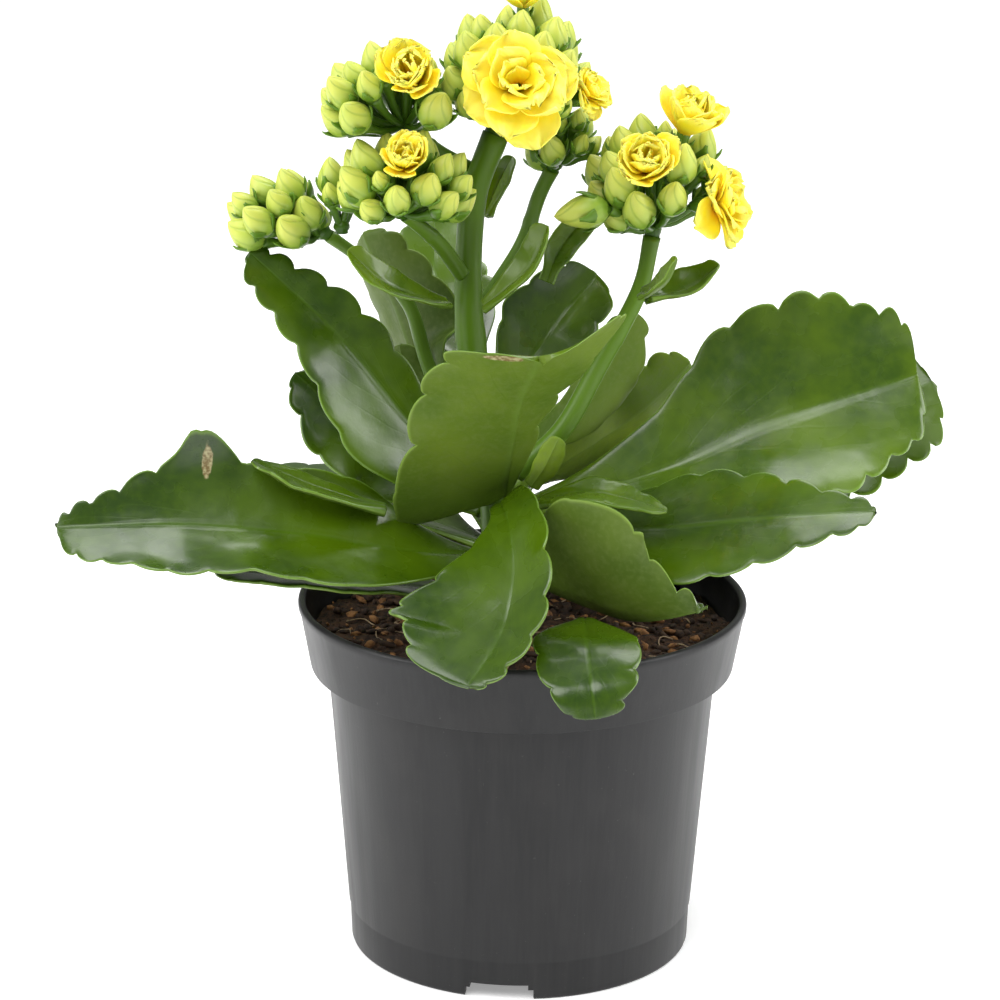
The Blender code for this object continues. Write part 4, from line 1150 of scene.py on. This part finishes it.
def make_heads():
    """Every head: buds with sepals on curved pedicels that part from the hub."""
    looks = [bud_look(), calyx_look()]
    for order, name in enumerate(HEADS):
        shape = Shape()
        hub = np.array(hub_place(name))
        stem = HEADS[name].get("stem")
        below = np.array(stem_route(stem)[-1]) if stem else hub - [0, 0, 2.0]
        thick = stem_radius(stem, 1.0) if stem else 1.5
        radii = [thick, thick * 0.97, 1.9, 1.9, 1.7, 1.3, 0.7]
        tube(shape, smooth_route([below, hub, hub + [0, 0, 1.4]], 7), radii, 12, 1, (0.0, 0.2))
        full = bud_places(name)
        sizes = [0.98 + 0.14 * math.sin((order * 7.0 + count) * 2.7) for count in range(len(full))]
        small = small_bud_places(name, full)
        sizes += [SMALL_BUD_SIZE + 0.12 * math.sin(count * 3.1) for count in range(len(small))]
        for count, (centre, size) in enumerate(zip(full + small, sizes)):
            seed = order * 7.0 + count
            facing = (centre - Vector(hub)).normalized().lerp(Vector((0, 0, 1)), BUD_UPTURN).normalized()
            foot = np.array(centre - facing * BUD_LENGTH * size / 2)
            facing = np.array(facing)
            add_bud(shape, foot, facing, size, seed)
            bend = hub + (foot - hub) * 0.5 - facing * 0.5 - np.array([0, 0, 0.8])
            route = smooth_route([hub, bend, foot + facing * 0.8], 10)
            radii = np.linspace(0.75, 1.0, 10)
            radii[-3:] = (1.15, 1.5, 2.0)
            tube(shape, route, radii, 9, 1, (0.0, 0.55))
        if name in LONG_BUDS:
            foot, facing, size, longer = LONG_BUDS[name]
            add_bud(shape, np.array(foot), np.array(Vector(facing).normalized()), size, 2.0, longer)
            route = smooth_route([hub, (hub + foot) / 2 - [0, 0, 2.0], foot], 10)
            tube(shape, route, np.linspace(0.8, 1.6, 10), 9, 1)
        data = shape.mesh(name + "_detail", looks)
        add_piece(name + "_detail", data, [name])


# ---------------------------------------------------------------- open flowers

def petal_sheet(length, width, tilt, cup, ruffle, seed):
    """A petal that leaves the axis at a tilt in degrees: rows by columns by 3, its foot at the origin."""
    t = np.linspace(0.0, 1.0, PETAL_ROWS)
    s = np.linspace(-1.0, 1.0, PETAL_COLUMNS)
    half = width / 2 * (0.22 + 0.78 * np.sin(math.pi * np.clip(t * 0.66 + 0.02, 0, 1)) ** 1.1)
    half = half * np.sqrt(np.clip(1.0 - np.maximum(0.0, (t - 0.66) / 0.34) ** 2.2 * 0.94, 0, 1))
    angle = math.radians(tilt) + np.radians(cup) * (t - 0.5)
    step = length / (PETAL_ROWS - 1)
    out = np.concatenate([[0.0], np.cumsum(np.sin(angle[1:]) * step)])
    up = np.concatenate([[0.0], np.cumsum(np.cos(angle[1:]) * step)])
    x = s[None, :] * half[:, None]
    hollow = 0.16 * width * (s[None, :] ** 2) * np.sin(math.pi * np.clip(t[:, None], 0, 1)) ** 0.5
    frill = ruffle * (t[:, None] ** 1.6) * np.abs(s[None, :]) ** 1.1
    frill = frill * np.sin(s[None, :] * 4.2 + seed) * width * 0.09
    frill = frill + ruffle * t[:, None] ** 3 * 0.04 * width * np.sin(s[None, :] * 8 + seed * 2)
    inward = hollow + frill
    y = out[:, None] - inward * np.cos(angle)[:, None]
    z = up[:, None] + inward * np.sin(angle)[:, None]
    point = (1.0 - s[None, :] ** 2) * (t[:, None] ** 6) * 0.06 * length
    return np.stack([x, y + point * np.sin(angle)[:, None], z + point * np.cos(angle)[:, None]], axis=-1)


def add_whorl(shape, transform, count, length, width, tilt, cup, ruffle, start, base, slot=0):
    """A ring of petals round the flower's axis, their feet a little out from it and up it."""
    grid = place_grid(PETAL_ROWS, PETAL_COLUMNS)
    for index in range(count):
        seed = start * 3 + index * 2.1
        lean = tilt + 11.0 * math.sin(seed * 1.3)
        sheet = petal_sheet(length * (1 + 0.10 * math.sin(seed)), width, lean, cup, ruffle, seed)
        spin = start + index * 2 * math.pi / count + 0.22 * math.sin(seed * 2.2)
        c, s = math.cos(spin), math.sin(spin)
        turn = np.array([[c, -s, 0], [s, c, 0], [0, 0, 1]])

        def placed(points, turn=turn):
            return transform((points + [0, base[0], base[1]]) @ turn.T)

        thick_sheet(shape, sheet, np.array([0, 0, length]), PETAL_THICKNESS, slot, grid, placed)


# Whorls of an open flower, outermost first: petals, length and width as shares of the flower's
# radius, tilt from the axis, cupping, ruffle, and the whorl's height above the foot.
OPEN = (
    (5, 1.05, 1.10, 82, 40, 1.2, 0.0),
    (5, 1.00, 1.00, 60, 30, 1.3, 0.05),
    (4, 0.88, 0.90, 42, 16, 1.4, 0.10),
    (3, 0.72, 0.70, 26, 0, 1.4, 0.14),
    (2, 0.52, 0.46, 14, -8, 1.2, 0.18),
)
CUPPED = (
    (5, 1.18, 1.10, 40, -36, 0.6, 0.0),
    (5, 1.14, 1.00, 31, -36, 0.7, 0.04),
    (4, 1.09, 0.90, 22, -32, 0.8, 0.08),
    (4, 1.02, 0.74, 14, -26, 0.9, 0.12),
    (2, 0.94, 0.60, 7, -18, 0.9, 0.16),
)
FULLY_OPEN = ("flower_top", "flower_right_side", "flower_top_right")


def make_flowers():
    """Every open flower: whorls of ruffled petals, a green tube and sepals."""
    looks = [petal_look(), calyx_look()]
    for order, (name, flower) in enumerate(FLOWERS.items()):
        radius = flower["radius"]
        depth = flower["depth"]
        facing = np.array(Vector(flower["faces"]).normalized())
        turn = turned_to(facing)
        heart = np.array(flower["middle"]) - facing * depth * 0.45

        def transform(points, turn=turn, heart=heart):
            return points @ turn.T + heart

        shape = Shape()
        whorls = OPEN if name in FULLY_OPEN else CUPPED
        for layer, (count, length, width, tilt, cup, ruffle, lift) in enumerate(whorls):
            add_whorl(shape, transform, count, length * radius, width * radius, tilt, cup, ruffle,
                      order + layer * 0.55, (0.06 * radius, lift * radius))
        tube_length = depth * 0.62
        route = heart + np.outer(np.linspace(-tube_length, 0.12 * radius, 8), facing)
        radii = np.array([1.0, 1.5, 2.0, 2.1, 1.9, 1.7, 1.8, 1.4]) * (radius / 10.0) ** 0.5
        tube(shape, route, radii, 12, 1, (0.3, 0.9))
        grid = place_grid(SEPAL_ROWS, SEPAL_COLUMNS, 0.15)
        lower = heart - facing * tube_length * 0.9

        def lowered(points, turn=turn, lower=lower):
            return points @ turn.T + lower

        for count in range(SEPALS):
            sheet = sepal(2.0 * (radius / 10) ** 0.5, depth * 0.5, order + count * math.pi / 2, 0.9)
            thick_sheet(shape, sheet, np.array([0, 0, 2.0]), SEPAL_THICKNESS, 1, grid, lowered)
        data = shape.mesh(name + "_detail", looks)
        add_piece(name + "_detail", data, [name])


# ---------------------------------------------------------------- pot and soil

def outer_radius(height):
    """The pot body's outer radius under the band, at a height."""
    crease = FOOT_CREASE_HEIGHT
    if height < crease:
        return FOOT_RADIUS + (BODY_FOOT_RADIUS - FOOT_RADIUS) * height / crease
    share = (height - crease) / (POT_HEIGHT - BAND_HEIGHT - crease)
    return BODY_FOOT_RADIUS + (BODY_TOP_RADIUS - BODY_FOOT_RADIUS) * share


def band_radius(height):
    """The rim band's outer radius at a height."""
    share = (height - (POT_HEIGHT - BAND_HEIGHT)) / BAND_HEIGHT
    return BAND_FOOT_RADIUS + (RIM_RADIUS - BAND_FOOT_RADIUS) * share


def pot_profile():
    """The pot's section: inner floor, inner wall, rounded lip, outer wall, foot, underside."""
    ledge = POT_HEIGHT - BAND_HEIGHT
    lip = POT_HEIGHT - LIP_HEIGHT
    centre = (RIM_RADIUS - LIP_WALL / 2, POT_HEIGHT - LIP_WALL / 2)
    arc = [(centre[0] - LIP_WALL / 2 * math.cos(a), centre[1] + LIP_WALL / 2 * math.sin(a))
           for a in np.linspace(0.0, math.pi, 9)]
    return [
        (0.0, FLOOR_HEIGHT),
        (outer_radius(FLOOR_HEIGHT) - WALL - 1.0, FLOOR_HEIGHT),
        (outer_radius(FLOOR_HEIGHT) - WALL, FLOOR_HEIGHT + 1.0),
        (outer_radius(ledge + WALL) - WALL, ledge + WALL),
        (band_radius(ledge + WALL) - WALL - 0.5, ledge + WALL),
        (band_radius(ledge + WALL) - WALL, ledge + WALL + 0.5),
        (band_radius(lip) - WALL, lip - 0.3),
        *arc,
        (RIM_RADIUS - 0.05, lip + 0.7),
        (band_radius(lip), lip),
        (BAND_FOOT_RADIUS + 0.08, ledge + 0.45),
        (BAND_FOOT_RADIUS - 0.06, ledge + 0.12),
        (BAND_FOOT_RADIUS - 0.35, ledge),
        (BODY_TOP_RADIUS + 0.5, ledge),
        (BODY_TOP_RADIUS + 0.1, ledge - 0.15),
        (BODY_TOP_RADIUS - 0.05, ledge - 0.6),
        (BODY_FOOT_RADIUS, FOOT_CREASE_HEIGHT + 0.1),
        (BODY_FOOT_RADIUS - 0.25, FOOT_CREASE_HEIGHT - 0.3),
        (BODY_FOOT_RADIUS - 0.28, FOOT_CREASE_HEIGHT - 0.8),
        (FOOT_RADIUS, 0.8),
        (FOOT_RADIUS - 0.2, 0.25),
        (FOOT_RADIUS - 0.6, 0.0),
        (FOOT_RADIUS - FOOT_WIDTH, 0.0),
        (FOOT_RADIUS - FOOT_WIDTH - 0.6, FOOT_RECESS),
        (PAD_RADIUS + 0.6, FOOT_RECESS),
        (PAD_RADIUS, 0.0),
        (0.0, 0.0),
    ]


def turned(profile, steps):
    """A closed turned shape as points, by rows down the profile, in plant millimetres."""
    angle = np.linspace(0.0, 2 * math.pi, steps, endpoint=False)
    section = np.array(profile)
    radius = section[:, :1]
    height = np.broadcast_to(section[:, 1:] - POT_HEIGHT, (len(profile), steps))
    return np.stack([radius * np.cos(angle), radius * np.sin(angle), height], axis=-1)


def make_pot():
    """The pot, with its drain holes and the notches in its foot."""
    look = pot_look()
    shape = Shape()
    profile = pot_profile()
    shape.grid(turned(profile, POT_STEPS), 0, True, None, close_rows=True)
    data = shape.mesh("pot_detail", [look])
    outward(data)
    data.set_sharp_from_angle(angle=math.radians(40))
    pot = add_piece("pot_detail", data, ["pot"])
    cut = bmesh.new()
    for azimuth in NOTCH_AZIMUTHS:
        turn = Matrix.Rotation(math.radians(azimuth), 4, "Z")
        reach = 2.0 * FOOT_WIDTH + 2.0
        middle = FOOT_RADIUS - FOOT_WIDTH / 2
        block = Matrix.Diagonal((reach * MM, NOTCH_WIDTH * MM, 2 * FOOT_RECESS * MM, 1.0))
        place = turn @ Matrix.Translation((middle * MM, 0, 0)) @ block
        made = bmesh.ops.create_cube(cut, size=1.0, matrix=place)
        edges = dict.fromkeys(edge for vert in made["verts"] for edge in vert.link_edges)
        upper = [edge for edge in edges if all(vert.co.z > 0 for vert in edge.verts)]
        bmesh.ops.bevel(cut, geom=upper, offset=1.2 * MM, segments=4, affect="EDGES")
        hole = turn @ Matrix.Translation((DRAIN_RING_RADIUS * MM, 0.0, FLOOR_HEIGHT * MM))
        bmesh.ops.create_cone(cut, cap_ends=True, segments=32, radius1=DRAIN_HOLE_RADIUS * MM,
                              radius2=DRAIN_HOLE_RADIUS * MM, depth=2 * FLOOR_HEIGHT * MM, matrix=hole)
    data = bpy.data.meshes.new("pot_detail_cutter")
    cut.to_mesh(data)
    cut.free()
    cutter = bpy.data.objects.new("pot_detail_cutter", data)
    bpy.context.scene.collection.objects.link(cutter)
    step = pot.modifiers.new("cut", "BOOLEAN")
    step.operation = "DIFFERENCE"
    step.object = cutter
    step.solver = "EXACT"
    apply_modifiers(pot)
    bpy.data.objects.remove(cutter, do_unlink=True)


def apply_modifiers(piece):
    """Replace a piece's mesh by what its modifiers make of it."""
    graph = bpy.context.evaluated_depsgraph_get()
    made = bpy.data.meshes.new_from_object(piece.evaluated_get(graph))
    piece.modifiers.clear()
    piece.data = made


def spread(count, seed):
    """Evenly spread numbers 0..1 in pairs, the same on every run."""
    index = np.arange(1, count + 1)
    return np.mod(index * 0.7548776662 + seed, 1.0), np.mod(index * 0.5698402910 + seed * 0.7, 1.0)


def soil_height(x, y):
    """The height of the soil's surface at a place, in plant millimetres."""
    top = SOIL_HIGH.z - POT_HEIGHT - 1.2
    place = Vector((x, y, 0.0))
    clods = noise.noise(place / 9.0) * 1.3 + noise.noise(place / 3.6 + Vector((7, 0, 0))) * 0.9
    return top + clods + noise.noise(place / 1.6 + Vector((0, 9, 0))) * 0.5


def make_soil():
    """The soil: a lumpy surface, its block inside the pot, crumbs of bark and clay, fibres and roots."""
    looks = [
        soil_look(),
        crumb_look("bark_crumbs", (0.13, 0.055, 0.018), (0.42, 0.20, 0.07)),
        crumb_look("dark_crumbs", (0.018, 0.010, 0.006), (0.07, 0.035, 0.018)),
        crumb_look("pale_fibres", (0.30, 0.20, 0.11), (0.52, 0.40, 0.26)),
    ]
    shape = Shape()
    edge = band_radius(SOIL_HIGH.z) - WALL - CLEARANCE
    rings = np.linspace(0.6, edge, SOIL_RINGS)
    angle = np.linspace(0.0, 2 * math.pi, SOIL_STEPS, endpoint=False)
    surface = np.zeros((len(rings), len(angle), 3))
    for row, radius in enumerate(rings):
        for column, turn in enumerate(angle):
            x, y = radius * math.cos(turn), radius * math.sin(turn)
            surface[row, column] = (x, y, soil_height(x, y))
    surface[-1, :, 2] -= 0.8
    ledge = POT_HEIGHT - BAND_HEIGHT + WALL
    inner = WALL + CLEARANCE
    low = [
        (band_radius(ledge) - inner, ledge + CLEARANCE),
        (outer_radius(ledge) - inner, ledge + CLEARANCE),
        (outer_radius(FLOOR_HEIGHT) - inner - 1.0, FLOOR_HEIGHT + CLEARANCE),
    ]
    block = np.concatenate([surface, turned(low, len(angle))], axis=0)
    index = shape.grid(block, 0, False, None, close_rows=True)
    shape.ring_cap(index[0, :-1], 0, True)
    shape.ring_cap(index[-1, :-1], 0)
    add_crumbs(shape, edge)
    add_fibres(shape, edge)
    data = shape.mesh("soil_detail", looks)
    add_piece("soil_detail", data, ["soil"])


def add_crumbs(shape, edge):
    """Angular crumbs half sunk in the soil's surface."""
    ball = bmesh.new()
    bmesh.ops.create_icosphere(ball, subdivisions=1, radius=1.0)
    points = np.array([v.co[:] for v in ball.verts])
    faces = [[v.index for v in f.verts] for f in ball.faces]
    ball.free()
    first, second = spread(CRUMBS, 0.31)
    for count, (a, b) in enumerate(zip(first, second)):
        radius = (edge - 1.6) * math.sqrt(a)
        turn = 2 * math.pi * b
        x, y = radius * math.cos(turn), radius * math.sin(turn)
        size = 0.45 + 1.25 * abs(math.sin(count * 12.9)) ** 3
        stretch_by = np.array([1.0 + 0.7 * math.sin(count), 0.8 + 0.3 * math.sin(count * 2.3), 0.55])
        lumps = 1.0 + 0.35 * np.sin(points @ np.array([3.1, 5.7, 4.3]) + count)
        tip = Matrix.Rotation(math.sin(count * 5.0) * 0.7, 3, "X")
        spin = np.array(Matrix.Rotation(count * 2.4, 3, "Z") @ tip)
        crumb = (points * lumps[:, None] * stretch_by * size) @ spin.T
        crumb = crumb + [x, y, soil_height(x, y) + size * 0.15]
        shape.add(crumb, [[i + shape.count for i in face] for face in faces], 1 if count % 3 == 0 else 2)


def add_fibres(shape, edge):
    """Pale fibres and fine roots that lie on the soil."""
    first, second = spread(FIBRES, 0.57)
    for count, (a, b) in enumerate(zip(first, second)):
        radius = (edge - 7.0) * math.sqrt(a)
        turn = 2 * math.pi * b
        heading = count * 2.4
        length = 3.0 + 6.0 * abs(math.sin(count * 3.7))
        route = []
        for step in np.linspace(-0.5, 0.5, 5):
            x = radius * math.cos(turn) + length * step * math.cos(heading + step)
            y = radius * math.sin(turn) + length * step * math.sin(heading + step * 1.6)
            route.append((x, y, soil_height(x, y) + 0.25 + 0.5 * (1 - 4 * step * step)))
        tube(shape, smooth_route(route, 9), np.full(9, 0.10 + 0.08 * abs(math.sin(count))), 5, 3)


# ---------------------------------------------------------------- stage, light and camera

def make_stage():
    """A plain pale floor."""
    data = bpy.data.meshes.new("floor")
    floor_mesh = bmesh.new()
    bmesh.ops.create_grid(floor_mesh, x_segments=1, y_segments=1, size=FLOOR_HALF_SIZE)
    floor_mesh.to_mesh(data)
    floor_mesh.free()
    look, tree = new_look("floor_white", 0.6)
    shader = tree.nodes["Principled BSDF"]
    shader.inputs["Base Color"].default_value = (0.93, 0.93, 0.93, 1.0)
    shader.inputs["Emission Color"].default_value = (1.0, 1.0, 1.0, 1.0)
    shader.inputs["Emission Strength"].default_value = 0.3
    data.materials.append(look)
    floor = bpy.data.objects.new("floor", data)
    bpy.context.scene.collection.objects.link(floor)


def add_softbox(name, azimuth, elevation, distance, size, power):
    """A large soft light that faces the plant. Azimuth 0 is in front, 90 to the right."""
    target = Vector((0, 0, 0.12))
    a, e = math.radians(azimuth), math.radians(elevation)
    place = target + distance * Vector((math.sin(a) * math.cos(e), -math.cos(a) * math.cos(e), math.sin(e)))
    data = bpy.data.lights.new(name, "AREA")
    data.shape = "RECTANGLE"
    data.size, data.size_y = size
    data.energy = power
    light = bpy.data.objects.new(name, data)
    light.location = place
    light.rotation_euler = (target - place).to_track_quat("-Z", "Y").to_euler()
    bpy.context.scene.collection.objects.link(light)


def make_light():
    """Even white surroundings with softboxes on both sides and above."""
    world = bpy.data.worlds.new("studio")
    world.use_nodes = True
    background = world.node_tree.nodes["Background"]
    background.inputs["Color"].default_value = (1.0, 1.0, 1.0, 1.0)
    background.inputs["Strength"].default_value = SURROUNDINGS
    bpy.context.scene.world = world
    add_softbox("left_window", -75, 30, 1.0, (0.4, 0.9), WINDOW_POWER)
    add_softbox("right_window", 80, 30, 1.0, (0.4, 0.9), WINDOW_POWER)
    add_softbox("top", 170, 70, 1.0, (0.8, 0.6), TOP_POWER)
    sun = bpy.data.lights.new("front_key", "SUN")
    sun.energy = KEY_STRENGTH
    sun.angle = math.radians(35)
    key = bpy.data.objects.new("front_key", sun)
    key.rotation_euler = (math.radians(38), 0.0, math.radians(-20))
    bpy.context.scene.collection.objects.link(key)
    bpy.context.scene.view_settings.view_transform = "Standard"


def make_camera():
    """The camera: a long lens a little above the plant, looking slightly down at it."""
    data = bpy.data.cameras.new("camera")
    data.lens = CAMERA_LENS
    data.sensor_width = 36.0
    camera = bpy.data.objects.new("camera", data)
    target = Vector(CAMERA_TARGET) * MM
    elevation = math.radians(CAMERA_ELEVATION)
    place = target + CAMERA_DISTANCE * Vector((0.0, -math.cos(elevation), math.sin(elevation)))
    camera.location = place
    facing = (target - place).to_track_quat("-Z", "Y")
    roll = Matrix.Rotation(math.radians(CAMERA_ROLL), 4, "Z").to_quaternion()
    camera.rotation_euler = (facing @ roll).to_euler()
    bpy.context.scene.collection.objects.link(camera)
    bpy.context.scene.camera = camera


make_camera()
make_light()
make_stage()
make_pot()
make_soil()
make_stems()
make_leaves()
make_heads()
make_flowers()
